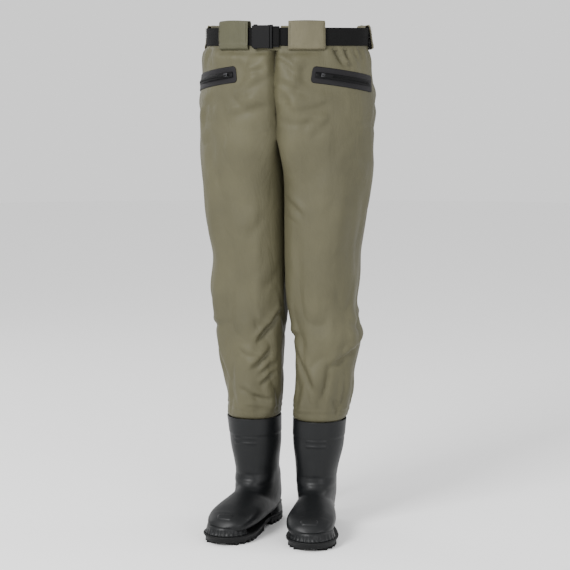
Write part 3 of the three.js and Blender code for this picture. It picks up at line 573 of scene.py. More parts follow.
LEG_CREASES = {
    "left": (
        (-62, 0.752, -24, 0.712, 0.0060, 0.0045),
        (-58, 0.716, -32, 0.690, 0.0050, 0.0030),
        (-46, 0.402, -2, 0.322, 0.0100, 0.0060),
        (20, 0.366, 8, 0.286, 0.0110, 0.0040),
        (96, 0.428, 30, 0.378, 0.0080, 0.0055),
        (88, 0.455, 60, 0.470, 0.0090, 0.0035),
        (-86, 0.432, -40, 0.440, 0.0070, 0.0040),
        (34, 0.300, 56, 0.270, 0.0070, 0.0030),
        (170, 0.500, 110, 0.470, 0.0080, 0.0060),
        (200, 0.480, 150, 0.455, 0.0080, 0.0060),
        (150, 0.430, 210, 0.420, 0.0080, 0.0055),
        (130, 0.34, 190, 0.30, 0.010, 0.0045),
        (30, 0.80, 62, 0.77, 0.014, 0.0025),
        (150, 0.80, 190, 0.84, 0.012, 0.004),
    ),
    "right": (
        (-66, 0.484, -32, 0.430, 0.0065, 0.0075),
        (-20, 0.470, -48, 0.452, 0.0080, 0.0030),
        (3, 0.410, -6, 0.396, 0.0040, 0.0030),
        (-6, 0.400, -32, 0.386, 0.0060, 0.0035),
        (-48, 0.400, -20, 0.366, 0.0070, 0.0065),
        (-60, 0.376, -33, 0.356, 0.0060, 0.0045),
        (-56, 0.354, -33, 0.328, 0.0060, 0.0050),
        (4, 0.322, -22, 0.302, 0.0050, 0.0035),
        (-18, 0.304, -44, 0.298, 0.0050, 0.0040),
        (-2, 0.277, -42, 0.276, 0.0035, 0.0022),
        (96, 0.448, 32, 0.462, 0.0075, 0.0036),
        (80, 0.44, 60, 0.36, 0.012, 0.0030),
        (14, 0.800, 28, 0.770, 0.0080, 0.0025),
        (-40, 0.70, -20, 0.66, 0.012, 0.0030),
        (-70, 0.60, -40, 0.55, 0.010, 0.0040),
        (172, 0.495, 112, 0.475, 0.0080, 0.0060),
        (205, 0.470, 150, 0.450, 0.0080, 0.0060),
        (140, 0.420, 205, 0.405, 0.0090, 0.0055),
        (120, 0.33, 180, 0.29, 0.010, 0.0045),
        (150, 0.81, 190, 0.845, 0.012, 0.004),
    ),
}
HIP_RADIUS = 0.165
LEG_RADIUS = 0.088
HIP_HALF_WIDTH = 0.19
BAG_DENT = 0.0016  # the deepest dent in the fabric over a pocket's bag


def crease_depth(creases, turn, z, radius):
    """Sum of the creases at a point: a valley with a softer ridge beside it."""
    turn += 4.5 * ripple(turn * 0.05, 0, z * 26, 11.0)
    z += 0.0045 * ripple(turn * 0.06, 3, z * 30, 15.0)
    total = 0.0
    for turn_a, z_a, turn_b, z_b, width, depth in creases:
        if abs(z - (z_a + z_b) / 2) > abs(z_a - z_b) / 2 + 4 * width:
            continue
        away = (turn - turn_a + 180) % 360 - 180
        sweep = turn_b - turn_a
        ax, az = math.radians(sweep) * radius, z_b - z_a
        px, pz = math.radians(away) * radius, z - z_a
        length = math.hypot(ax, az)
        along = (px * ax + pz * az) / (length * length)
        if along < -0.35 or along > 1.35:
            continue
        across = (px * az - pz * ax) / length
        if ax > 0:
            across = -across
        taper = ease((along + 0.35) / 0.6) * ease((1.35 - along) / 0.6)
        valley = bell(across, width)
        ridge = bell(across - 1.9 * width, 1.4 * width)
        total += depth * taper * (0.75 * ridge - valley)
    return total


def pocket_mask(turn, z):
    """1 away from the pocket, near 0 on it."""
    level = POCKET_LEVEL - POCKET_DROP * clamp((turn - POCKET_INNER) / (POCKET_OUTER - POCKET_INNER))
    inside = bell((z - level) / 0.030, 1.0) * ease((turn - 14) / 10) * ease((98 - turn) / 10)
    return 1 - 0.92 * clamp(inside * 1.5)


# Turns between which each belt loop lies, counted towards the wearer's left.
LOOP_SPANS = {
    "front_left": (10.3, 35.8),
    "front_right": (-43.8, -17.8),
    "side_left": (92, 124),
    "side_right": (-124, -92),
    "back": (166, 194),
}
# Turns that the buckle and the loops cover on each half, where the fabric stays flat.
BUCKLE_TURN = -5.0
BACK_TURNS = (LOOP_SPANS["back"][0], 180)
COVERED_TURNS = {
    "left": ((BUCKLE_TURN, LOOP_SPANS["front_left"][1]), LOOP_SPANS["side_left"], BACK_TURNS),
    "right": ((BUCKLE_TURN, -LOOP_SPANS["front_right"][0]), LOOP_SPANS["side_left"], BACK_TURNS),
}


# Level, length and reach of what the legs lean outwards by, and what their outer sides alone stand out by.
SWAY = {
    "left": {
        "both": ((0.42, 0.07, 0.008), (0.32, 0.045, 0.007)),
        "outer": ((0.61, 0.07, -0.007), (0.50, 0.045, -0.008), (0.437, 0.022, 0.005), (0.34, 0.06, -0.006)),
    },
    "right": {
        "both": ((0.33, 0.09, -0.005),),
        "outer": ((0.80, 0.10, -0.006), (0.60, 0.05, -0.010), (0.47, 0.06, -0.005), (0.35, 0.05, -0.002)),
    },
}


def facets(x, y, z, seed):
    """Sharp valleys between flat areas, from -1 to about 0.5."""
    return min(abs(ripple(x, y, z, seed)) * 3.6, 1.0) ** 0.8 * 1.5 - 1.0


def hip_out(side, turn, z):
    """How far the fabric stands out from the plain hip, at a turn from 0 at the front to 180 at the back."""
    under = WAIST_BOTTOM - z
    x = math.sin(math.radians(turn)) * HIP_HALF_WIDTH
    seed = 3.1 if side > 0 else 8.7
    name = "left" if side > 0 else "right"
    covered = max(
        ease((turn - low + 2) / 4) * ease((high + 2 - turn) / 4)
        for low, high in COVERED_TURNS[name]
    )
    front = ease((100 - turn) / 20)
    start = ease((under + mix(0.010, -0.002, covered)) / 0.012)

    # Fullness below the waistband, drawn into small gathers.
    puff = 0.0045 * start * bell(under - 0.016, 0.026)
    gather = math.cos(math.radians(turn) * 17 + seed * 2) + 0.7 * math.cos(math.radians(turn) * 31 + seed)
    gather += 1.5 * ripple(turn * 0.11, 0, z * 9, seed)
    puff += 0.0022 * gather * start * bell(under - 0.004, 0.030)

    # The seam down the middle, which opens into the hollow between the legs.
    valley = front * (
        0.014 * bell(x, 0.0070) * mix(0.75, 1.25, bell(z - 1.05, 0.02))
        + 0.007 * bell(x, 0.022) * ease(under / 0.02)
    )
    parting = ease((0.985 - z) / 0.105)
    valley += parting * mix(0.014, 0.020, front) * bell(x, mix(0.026, 0.036, front))
    if side < 0:
        valley -= 0.006 * front * bell(x - 0.012, 0.008) * bell(z - 1.018, 0.011)
    valley += (1 - front) * 0.004 * bell(x, 0.006) + (1 - front) * 0.006 * bell(x, 0.03) * ease(under / 0.06)

    # Undulations and creases, calmer at the pocket and never pressed into its bag.
    calm = pocket_mask(turn, z)
    broad = 0.0085 * ripple(turn * 0.035, 0, z * 8, seed) + 0.0032 * ripple(turn * 0.09, 5, z * 18, seed)
    broad += 0.0022 * facets(turn * 0.045, 9, z * 11, seed)
    folds = crease_depth(HIP_CREASES[name], turn, z, HIP_RADIUS)
    bulge = 0.004 * front * bell(x - 0.05, 0.05) * bell(z - 0.99, 0.05)
    over_bag = ease((turn - 20) / 10) * ease((94 - turn) / 8) * ease((1.02 - z) / 0.01)
    loose = calm * (folds + broad + bulge)
    loose = mix(loose, max(loose, -BAG_DENT), over_bag)
    return start * loose + puff * mix(0.4, 1, calm) - valley * ease((under + 0.010) / 0.012)


def leg_out(side, turn, z):
    """How far the fabric stands out from the plain leg, at a turn from -90 at the inner side."""
    name = "left" if side > 0 else "right"
    seed = 1.3 if side > 0 else 6.1
    angle = math.radians(turn)
    ring_x, ring_y = math.cos(angle) * 1.3, math.sin(angle) * 1.3

    broad = 0.0095 * ripple(ring_x, ring_y, z * 4.2, seed)
    broad += 0.0036 * ripple(ring_x * 2.3, ring_y * 2.3, z * 9, seed)
    drape = 0.0016 * math.cos(3 * angle + 5 * z + seed) + 0.0012 * math.cos(5 * angle - 7 * z + 2 * seed)
    knee = bell(z - 0.44, 0.085) + 0.9 * bell(z - 0.31, 0.06)
    crumple = (0.0014 * ripple(ring_x * 3.4, ring_y * 3.4, z * 34, seed) * knee
               + 0.0024 * facets(ring_x * 1.2, ring_y * 1.2, z * 9, seed + 2) * (0.3 + knee))

    wide = math.sin(angle)
    sway = SWAY[name]
    shift = sum(reach * wide * bell(z - level, length) for level, length, reach in sway["both"])
    shift += sum(reach * max(wide, 0.0) * bell(z - level, length) for level, length, reach in sway["outer"])

    # The fabric is calmer between the thighs, rucked just over the boot and tucked into it.
    folds = crease_depth(LEG_CREASES[name], turn, z, LEG_RADIUS)
    inner = ease((math.cos(angle + math.pi / 2) - 0.35) / 0.4) * ease((z - 0.50) / 0.08)
    cuff = ease((z - BOOT_TOP + 0.002) / 0.035)
    stack = 0.0016 * math.cos((z - 0.255) * 2 * math.pi / 0.013 + 2 * ring_x) * bell(z - 0.266, 0.014)
    out = (broad + drape + crumple + folds) * mix(1, 0.25, inner) + stack * mix(0.3, 1, cuff)
    tuck = -0.010 * (1 - ease((z - BOOT_TOP + 0.0005) / 0.005))
    return out * cuff + tuck + (0.0015 + shift) * cuff


def hip_point(turn, z, out=0.0, side=1):
    angle = math.radians(turn)
    wide = at_level(HIP_LEVELS, z, 1) + out
    deep = at_level(HIP_LEVELS, z, 2) + out
    return Vector((side * wide * math.sin(angle), MIDDLE_Y - deep * math.cos(angle), z))


LEG_ROUNDNESS = 0.9  # 1 is an ellipse, less is squarer
LEG_GAP = 0.0009  # how near a leg comes to the plane between the legs


def signed_power(value, power):
    return math.copysign(abs(value) ** power, value)


def leg_point(side, turn, z, out=0.0):
    angle = math.radians(turn)
    outer = at_level(LEG_LEVELS, z, 1) + out
    inner = at_level(LEG_LEVELS, z, 2) - out
    deep = at_level(LEG_LEVELS, z, 3) + out
    across = signed_power(math.sin(angle), LEG_ROUNDNESS) * (outer - inner) / 2
    ahead = signed_power(math.cos(angle), LEG_ROUNDNESS) * deep
    x = max((outer + inner) / 2 + across, LEG_GAP)
    return Vector((side * x, MIDDLE_Y - ahead, z))
OUTER_STEPS = 120
INNER_STEPS = 32
HIP_ROWS = 40
LEG_ROWS = 168
FORK = 0.869  # where the two legs part
LEG_START = 0.76  # where the leg's own section is reached
TROUSER_TOP = BELT_BOTTOM + 0.002
TROUSER_BOTTOM = BOOT_TOP - 0.012
SPLIT = 0.632  # between the piece over the hips and the one over the knees
SEAM_TURN = 27  # how far round from a leg's inner side the crotch seam's ends stand
FORK_REACH = 0.075  # how far from the middle the fork's fabric is smoothed
FORK_ROUNDS = 14
CLOTH = 0.001


def crotch_point(side, share):
    """The crotch seam, from the centre back at 0 to the centre front at 1."""
    y = math.cos(math.pi * share)
    back = hip_point(180, FORK, hip_out(side, 180, FORK), side)
    ahead = hip_point(0, FORK, hip_out(side, 0, FORK), side)
    reach = (back.y - MIDDLE_Y) if y > 0 else (MIDDLE_Y - ahead.y)
    dip = (FORK - CROTCH + 0.004) * (1 - abs(y) ** 3)
    return Vector((0.0, MIDDLE_Y + y * reach, FORK - dip))


def outer_turns(column):
    share = column / OUTER_STEPS
    return 180 * share, mix(-90 + SEAM_TURN, 270 - SEAM_TURN, share)


def trouser_side(name, side):
    """One half of the trousers, from the belt to inside the boot."""
    bm = new_bmesh()
    start_turn, end_turn = outer_turns(0)[1], outer_turns(OUTER_STEPS)[1]

    def upper(column, row):
        turn = outer_turns(column)[0]
        z = mix(FORK, TROUSER_TOP, row / HIP_ROWS)
        point = hip_point(turn, z, hip_out(side, turn, z), side)
        if column in (0, OUTER_STEPS):
            point.x = 0.0
        return point

    def lower(column, row):
        z = mix(FORK, TROUSER_BOTTOM, row / LEG_ROWS)
        share = ease((FORK - z) / (FORK - LEG_START))
        column %= OUTER_STEPS + INNER_STEPS
        if column <= OUTER_STEPS:
            hip_turn, leg_turn = outer_turns(column)
            first = hip_point(hip_turn, z, hip_out(side, hip_turn, z), side)
            if column in (0, OUTER_STEPS):
                first.x = 0.0
        else:
            inner = (column - OUTER_STEPS) / INNER_STEPS
            leg_turn = mix(end_turn, 360 + start_turn, inner)
            first = crotch_point(side, inner)
        second = leg_point(side, leg_turn, z, leg_out(side, leg_turn, z))
        return first.lerp(second, share)

    warped_grid(bm, OUTER_STEPS, HIP_ROWS, upper)
    warped_grid(bm, OUTER_STEPS + INNER_STEPS, LEG_ROWS, lower)
    bmesh.ops.remove_doubles(bm, verts=bm.verts, dist=1e-6)
    fork = [
        v for v in bm.verts
        if 0.0 < abs(v.co.x) < FORK_REACH and LEG_START < v.co.z < FORK + 0.02
    ]
    for _ in range(FORK_ROUNDS):
        bmesh.ops.smooth_vert(bm, verts=fork, factor=0.5, use_axis_x=True, use_axis_y=True, use_axis_z=True)
    bmesh.ops.recalc_face_normals(bm, faces=bm.faces)
    obj = to_object(bm, f"trousers_{name}", [material("fabric"), material("lining")], merge=0)
    modifier(obj, "SOLIDIFY", thickness=CLOTH, offset=-1.0, material_offset=1, use_rim=False)
    bake(obj)
    return obj


def split_piece(source, name, keep):
    """A copy of the faces that keep() accepts, with the whole mesh's normals along the cut."""
    bm = bmesh.new()
    bm.from_mesh(source.data)
    bm.normal_update()
    away = [face for face in bm.faces if not keep(face.calc_center_median())]
    normals = {vert.index: vert.normal.copy() for vert in bm.verts}
    layer = bm.verts.layers.int.new("from")
    for vert in bm.verts:
        vert[layer] = vert.index
    bmesh.ops.delete(bm, geom=away, context="FACES")
    kept = [normals[vert[layer]] for vert in bm.verts]
    bm.verts.layers.int.remove(layer)
    mesh = bpy.data.meshes.new(name)
    bm.to_mesh(mesh)
    bm.free()
    for slot in source.data.materials:
        mesh.materials.append(slot)
    mesh.shade_smooth()
    mesh.normals_split_custom_set_from_vertices(kept)
    obj = bpy.data.objects.new(name, mesh)
    bpy.context.scene.collection.objects.link(obj)
    return obj


# ---- Boots, in their own frame until boot_world carries them over ----

def boot_world(side, point):
    turned = Matrix.Rotation(side * TOE_OUT, 3, "Z") @ Vector((side * point.x, point.y, point.z))
    return turned + Vector((side * BOOT_SPREAD, MIDDLE_Y, 0))


def shaft_ring(turn, z, out=0.0):
    angle = math.radians(turn)
    share = (z - ANKLE) / (BOOT_TOP - ANKLE)
    lean = Matrix.Rotation(-TOE_OUT, 3, "Z") @ Vector((SHAFT_LEAN, 0, 0)) * share
    half = at_level(SHAFT_LEVELS, z, 1) + out
    behind, before = at_level(SHAFT_LEVELS, z, 3), at_level(SHAFT_LEVELS, z, 2)
    ahead = mix(behind, before, ease(math.cos(angle) / 2 + 0.5)) + out
    return Vector((half * math.sin(angle) + lean.x, -ahead * math.cos(angle) + lean.y, z))


def foot_ring(turn, index, out=0.0):
    top_y, top_z, low_y, low_z, half = FOOT_SECTIONS[index]
    angle = math.radians(turn)
    centre = Vector((0, (top_y + low_y) / 2, (top_z + low_z) / 2))
    reach = Vector((0, top_y, top_z)) - centre
    up = math.cos(angle)
    power = mix(0.7, 0.92, ease(up / 2 + 0.5))
    rise = signed_power(up, power)
    across = signed_power(math.sin(angle), power)
    grown = reach * (1 + out / max(reach.length, 0.01))
    return Vector(((half + out) * across, 0, 0)) + centre + grown * rise


SHAFT_RINGS = (0.25, 0.235, 0.22, 0.205, 0.19, 0.175, 0.16, 0.145, 0.131)
RING_COUNT = len(SHAFT_RINGS) + len(FOOT_SECTIONS)


def boot_ring(turn, index, out=0.0):
    if index < len(SHAFT_RINGS):
        return shaft_ring(turn, SHAFT_RINGS[index], out)
    return foot_ring(turn, index - len(SHAFT_RINGS), out)


def boot_point(turn, position, out=0.0):
    """A point of the upper. position runs from 0 at the top to RING_COUNT - 1 at the toe."""
    first = min(int(position), RING_COUNT - 2)
    t = position - first
    rings = [clamp(first + k, 0, RING_COUNT - 1) for k in (-1, 0, 1, 2)]
    return between(*(boot_ring(turn, int(ring), out) for ring in rings), t)


def boot_out(side, turn, position):
    """Moulded lines and creases of the upper."""
    plain = boot_point(turn, position)
    angle = (turn + 180) % 360 - 180
    front = bell(angle, 75)

    # The collar's step and groove, and two short bars below it at the front.
    rings = 0.0
    if plain.z > 0.14:
        below = BOOT_TOP - plain.z
        rings = 0.0007 * ease((0.038 - below) / 0.002) - 0.0005 * bell(below - 0.041, 0.0014)
        bars = bell(below - 0.0425, 0.0022) + bell(below - 0.0545, 0.0022)
        rings += 0.0016 * bars * ease((27 - abs(angle)) / 3)

    soft = 0.0016 * ripple(plain.x * 18, plain.y * 18, plain.z * 18, 2.0 + side)
    ankle = front * (
        -0.0012 * bell(plain.z - 0.119 - 0.006 * math.cos(math.radians(angle)), 0.0040)
        - 0.0008 * bell(plain.z - 0.100, 0.004) + 0.0008 * bell(plain.z - 0.109, 0.005)
    ) * ease((position - 6) / 2)

    # The mould's parting line behind each side, and the raised cap of the toe.
    line = 0.0
    if 0.035 < plain.z < 0.19:
        line = 0.0012 * bell(abs(angle) - 124, 2.0)
    toe = 0.0010 * ease((position - 17.6) / 0.35) * ease((20.3 - position) / 0.6) * bell(angle, 62)
    return rings + soft + ankle + line + toe


OUTLINE_STEPS = 240


def sole_outward(point):
    """Direction from the sole's middle line to a point of its outline."""
    return (point - Vector((0, clamp(point.y, -0.15, 0.03)))).normalized()


def sole_points(grow):
    """The sole's outline in the boot's frame, heel first and round by the outer edge."""
    base = [Vector((x / 1000, y / 1000)) for x, y in SOLE_OUTLINE]
    size = len(base)
    points = []
    for k in range(OUTLINE_STEPS):
        place = k / OUTLINE_STEPS * size
        first = int(place)
        point = between(*(base[(first + j) % size] for j in (-1, 0, 1, 2)), place - first)
        points.append(point + sole_outward(point) * grow)
    return points


def sole_layer(bm, rings, low_y, high_y):
    """A closed body of the sole from (height, grow) rings, cut to a stretch of the boot."""
    outlines = [sole_points(grow) for _, grow in rings]

    def place(column, row):
        point = outlines[row][column % OUTLINE_STEPS]
        return Vector((point.x, point.y, rings[row][0]))

    part = new_bmesh()
    warped_grid(part, OUTLINE_STEPS, len(rings) - 1, place)
    bmesh.ops.remove_doubles(part, verts=part.verts, dist=1e-6)
    fill_holes(part)
    for y, sign in ((low_y, -1), (high_y, 1)):
        geometry = part.verts[:] + part.edges[:] + part.faces[:]
        bmesh.ops.bisect_plane(
            part, geom=geometry, plane_co=(0, y, 0), plane_no=(0, sign, 0), clear_outer=True)
        fill_holes(part)
    mesh = bpy.data.meshes.new("part")
    part.to_mesh(mesh)
    part.free()
    bm.from_mesh(mesh)
    bpy.data.meshes.remove(mesh)


def outline_at(points, y):
    """Smallest and largest x of the outline at a place along the boot."""
    found = []
    for a, b in zip(points, points[1:] + points[:1]):
        if (a.y - y) * (b.y - y) <= 0 and a.y != b.y:
            found.append(mix(a.x, b.x, (y - a.y) / (b.y - a.y)))
    return (min(found), max(found)) if found else None


LUG_PITCH = 0.0155
LUG_TOP = TREAD_DEPTH + 0.0012


def lug_rows(bm, first, last, length, grow):
    """Tread blocks: one at each edge and one between them, in rows across the sole."""
    points = sole_points(grow)
    y = first
    row = 0
    while y - length >= last:
        near, far = outline_at(points, y), outline_at(points, y - length)
        if near and far:
            low, high = max(near[0], far[0]), min(near[1], far[1])
            wide = high - low
            inset = 0.34 if row % 2 else 0.29
            inner = wide * (inset + 0.05)
            brick(bm, (low, y - length, 0.0), (low + wide * inset, y, LUG_TOP))
            brick(bm, (low + inner, y - length + 0.003, 0.0), (high - inner, y + 0.003, LUG_TOP))
            brick(bm, (high - wide * inset, y - length, 0.0), (high, y, LUG_TOP))
        y -= LUG_PITCH
        row += 1


def carry(bm, side):
    """Takes a whole mesh from the boot's frame to the object's."""
    for vert in bm.verts:
        vert.co = boot_world(side, vert.co)
    if side < 0:
        bmesh.ops.reverse_faces(bm, faces=bm.faces)


# ---- Properties ----

class WadersSizes(bpy.types.PropertyGroup):
    """Sizes that a user may change."""
    fabric_thickness: FloatProperty(
        name="Fabric thickness", description="Thickness of the loops and the waistband", default=FABRIC,
        unit="LENGTH", subtype="DISTANCE", precision=4)
    webbing_thickness: FloatProperty(
        name="Webbing thickness", description="Thickness of the belt", default=WEBBING, unit="LENGTH",
        subtype="DISTANCE", precision=4)
    camera_height: FloatProperty(
        name="Camera height", description="Height of the camera over the floor", default=1.05, unit="LENGTH",
        subtype="DISTANCE")
    camera_distance: FloatProperty(
        name="Camera distance", description="Distance of the camera from the middle of the waders",
        default=3.9, unit="LENGTH", subtype="DISTANCE")
    camera_turn: FloatProperty(
        name="Camera turn", description="Turn of the camera towards the wearer's left",
        default=math.radians(14), subtype="ANGLE", unit="ROTATION")


def colour_property(name, description, default):
    return FloatVectorProperty(
        name=name, description=description, default=default, subtype="COLOR", min=0, max=1)


class WadersLook(bpy.types.PropertyGroup):
    """Colours of the materials."""
    fabric: colour_property("Fabric", "Coated nylon", (0.0610, 0.0565, 0.0305))
    loops: colour_property("Loops", "Belt loops", (0.083, 0.075, 0.044))
    # Darker loop colour used only on the right front loop: painted shade.
    loop_painted_shade: colour_property("Shaded loop", "Right front loop", (0.0470, 0.0460, 0.0250))
    lining: colour_property("Lining", "Inner face of the fabric", (0.115, 0.110, 0.095))
    webbing: colour_property("Webbing", "Belt", (0.0042, 0.0042, 0.0042))
    buckle: colour_property("Buckle", "Buckle plastic", (0.0022, 0.0022, 0.0025))
    facing: colour_property("Facing", "Welded pocket facing", (0.0055, 0.0050, 0.0060))
    metal: colour_property("Metal", "Zip slider and pull", (0.06, 0.06, 0.064))
    rubber: colour_property("Rubber", "Boot upper", (0.0040, 0.0045, 0.0050))
    sole: colour_property("Sole", "Outsole and rim", (0.0040, 0.0042, 0.0044))
    # Pale grey of the bead round the heel rim: a painted highlight on the rim's top edge.
    line: colour_property("Heel line", "Bead round the heel", (0.085, 0.088, 0.084))
    insole: colour_property("Insole", "Felt insole", (0.03, 0.03, 0.028))
    thread: colour_property("Thread", "Stitching", (0.055, 0.048, 0.030))


# ---- Operators ----

AIM_HEIGHT = 0.5435
AIM_SIDE = 0.0046
LENS = 112.4
SENSOR = 36.0
FLOOR_RADIUS = 9.0
WORLD_STRENGTH = 1.15
# Name, place, size and power of each lamp.
LAMPS = (
    ("key", (-1.3, -3.0, 2.6), 1.3, 190.0),
    ("fill", (2.4, -2.6, 1.2), 1.6, 40.0),
    ("rim_left", (2.6, 1.2, 1.5), 1.2, 16.0),
    ("rim_right", (-2.6, 1.2, 1.5), 1.2, 16.0),
)


class WADERS_OT_stage(bpy.types.Operator):
    """Makes the floor, the lights and the camera"""
    bl_idname = "waders.stage"
    bl_label = "Stage"

    def execute(self, context):
        scene = context.scene
        sizes = scene.waders_sizes
        bm = new_bmesh()
        bmesh.ops.create_circle(bm, cap_ends=True, radius=FLOOR_RADIUS, segments=96)
        floor_shader = Shader("floor", Base_Color=(0.93, 0.93, 0.93, 1.0), Roughness=0.9)
        floor = to_object(bm, "floor", [floor_shader.material], smooth=False)

        world = bpy.data.worlds.new("studio")
        scene.world = world
        world.use_nodes = True
        background = world.node_tree.nodes["Background"]
        background.inputs["Color"].default_value = (1.0, 1.0, 1.0, 1.0)
        background.inputs["Strength"].default_value = WORLD_STRENGTH

        for name, place, size, power in LAMPS:
            lamp = bpy.data.lights.new(name, "AREA")
            lamp.size = size
            lamp.energy = power
            obj = bpy.data.objects.new(name, lamp)
            obj.location = place
            toward = Vector((0, MIDDLE_Y, 0.6)) - Vector(place)
            obj.rotation_euler = toward.to_track_quat("-Z", "Y").to_euler()
            scene.collection.objects.link(obj)

        turn = sizes.camera_turn
        axis = Vector((0, MIDDLE_Y, 0))
        back = Vector((math.sin(turn), -math.cos(turn), 0))
        right = Vector((math.cos(turn), math.sin(turn), 0))
        place = axis + back * sizes.camera_distance + Vector((0, 0, sizes.camera_height))
        target = axis - right * AIM_SIDE + Vector((0, 0, AIM_HEIGHT))
        camera = bpy.data.cameras.new("camera")
        camera.lens = LENS
        camera.sensor_width = SENSOR
        obj = bpy.data.objects.new("camera", camera)
        obj.location = place
        obj.rotation_euler = (target - place).to_track_quat("-Z", "Y").to_euler()
        scene.collection.objects.link(obj)
        scene.camera = obj
        return {"FINISHED"}


class WADERS_OT_trousers(bpy.types.Operator):
    """Makes the four fabric pieces of the trousers, two over the hips and two over the knees"""
    bl_idname = "waders.trousers"
    bl_label = "Trousers"

    def execute(self, context):
        for name, side in SIDES:
            whole = trouser_side(name, side)
            hips = split_piece(whole, f"hips_{name}", lambda centre: centre.z > SPLIT)
            leg = split_piece(whole, f"leg_{name}", lambda centre: centre.z <= SPLIT)
            bpy.data.objects.remove(whole)
            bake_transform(hips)
            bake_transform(leg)
            hip_nodes = [f"hip_panel_front_{name}", f"hip_panel_back_{name}", f"hip_band_{name}"]
            if side > 0:
                hip_nodes.append("crotch_gusset")
            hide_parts(*hip_nodes)
            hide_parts(f"thigh_panel_front_{name}", f"thigh_panel_back_{name}", f"knee_band_{name}",
                        f"shin_panel_front_{name}", f"shin_panel_back_{name}")
        return {"FINISHED"}


def waist_frames(turns, out, z):
    frames = []
    for turn in turns:
        point = hip_point(turn, BELT_LEVEL, out)
        point.z = z
        ahead = hip_point(turn + 0.5, BELT_LEVEL, out) - hip_point(turn - 0.5, BELT_LEVEL, out)
        outward = Vector((ahead.y, -ahead.x, 0)).normalized()
        frames.append((point, outward, Vector((0, 0, 1))))
    return frames


def turns_between(start, end, steps):
    return [mix(start, end, k / steps) for k in range(steps + 1)]


BAND_STEPS = 240
LOOP_COLUMNS = 36
LOOP_ROWS = 90
LOOP_CLOTH = 0.0015


class WADERS_OT_waistband(bpy.types.Operator):
    """Makes the waistband and the five belt loops"""
    bl_idname = "waders.waistband"
    bl_label = "Waistband and loops"

    def execute(self, context):
        thickness = context.scene.waders_sizes.fabric_thickness
        self.band(thickness)
        for name in LOOP_SPANS:
            self.loop(name, thickness)
        return {"FINISHED"}

    def band(self, thickness):
        height = WAIST_TOP - WAIST_BOTTOM
        frames = []
        for k in range(BAND_STEPS):
            turn = 360 / BAND_STEPS * k
            wave = min(0.0006 * ripple(turn * 0.1, 0, 0, 4.0), 0)
            frames += waist_frames([turn], -thickness / 2 + wave, WAIST_BOTTOM + height / 2)
        bm = new_bmesh()
        swept(bm, frames, slab(thickness / 2, height / 2, 0.001), closed=True)
        band = to_object(bm, "waistband", [material("fabric")])
        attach(band, "hips")
        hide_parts("waistband_front", "waistband_back")

    def loop(self, name, thickness):
        """A loop that rises inside the waistband, turns over its top and comes down over the belt."""
        node = f"belt_loop_{name}"
        top = span(node)[1].z
        out = BELT_CLEARANCE + WEBBING + LOOP_CLEARANCE + thickness
        start, end = LOOP_SPANS[name]
        at_front = name.startswith("front")
        foot = WAIST_BOTTOM + LOOP_FOOT
        inside = -2 * thickness - 0.001
        path = smooth_path([
            (inside, BELT_LEVEL), (inside, top - 0.003), (inside + 0.003, top), (out - 0.003, top),
            (out, top - 0.003), (out, foot + 0.004), (out - 0.004, foot), (0.001, foot),
        ], LOOP_ROWS, 0.35)
        seed = sum(ord(letter) for letter in name) * 0.13

        def place(column, row):
            share = column / LOOP_COLUMNS
            turn = mix(start, end, share)
            away, z = path[row]
            high = z > BELT_LEVEL
            outer = ease((away - 0.004) / 0.004)
            edge = min(share, 1 - share)
            sag = 0.0009 * ripple(share * 4, 0, z * 40, seed) - 0.0012 * bell(edge, 0.05)
            lift = 0.0012 * ripple(share * 3, 7, 0, seed) * (0.5 if high else 1.4)
            hem = 0.0007 * ease((foot + 0.013 - z) / 0.0012) * outer
            lean = 0.0 if at_front else 0.0034 * (BELT_LEVEL - z) / (top - BELT_LEVEL)
            arch = 0.0022 * (1 - (2 * share - 1) ** 2) if at_front and high else 0.0
            point = hip_point(turn, BELT_LEVEL, away + outer * (sag + lean) + hem)
            point.z = z + outer * (lift + arch)
            return point

        bm = new_bmesh()
        warped_grid(bm, LOOP_COLUMNS, LOOP_ROWS, place)
        # The right front loop takes a darker copy of the loop nylon, painted shade.
        obj = to_object(bm, f"loop_{name}", [material("loop_painted_shade" if name == "front_right" else "loops")])
        thick(obj, LOOP_CLOTH)
        bake(obj)
        fix_outward(obj)
        rounded(obj, 0.0004)
        bake(obj)
        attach(obj, "hips")
        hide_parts(node)
        edge_stitches(f"stitch_{name}", start, end, path)


def smooth_path(corners, count, sharp):
    """Evenly spaced points on a path whose corners are rounded."""
    dense = []
    for a, b in zip(corners, corners[1:]):
        dense += [Vector(a).lerp(Vector(b), j / 24) for j in range(24)]
    dense.append(Vector(corners[-1]))
    for _ in range(int(40 * sharp)):
        dense = [dense[0]] + [
            (p + 2 * q + r) / 4 for p, q, r in zip(dense, dense[1:], dense[2:])
        ] + [dense[-1]]
    lengths = [0.0]
    for a, b in zip(dense, dense[1:]):
        lengths.append(lengths[-1] + (b - a).length)
    points = []
    for k in range(count + 1):
        target = lengths[-1] * k / count
        i = next((j for j, value in enumerate(lengths) if value >= target), len(lengths) - 1)
        i = max(i, 1)
        piece = lengths[i] - lengths[i - 1]
        share = (target - lengths[i - 1]) / piece if piece else 0.0
        points.append(dense[i - 1].lerp(dense[i], share))
    return points


def fix_outward(obj):
    bm = bmesh.new()
    bm.from_mesh(obj.data)
    bmesh.ops.recalc_face_normals(bm, faces=bm.faces)
    bm.to_mesh(obj.data)
    bm.free()


STITCH_INSET = 1.1  # degrees from the loop's edge
STITCH_PITCH = 0.0036


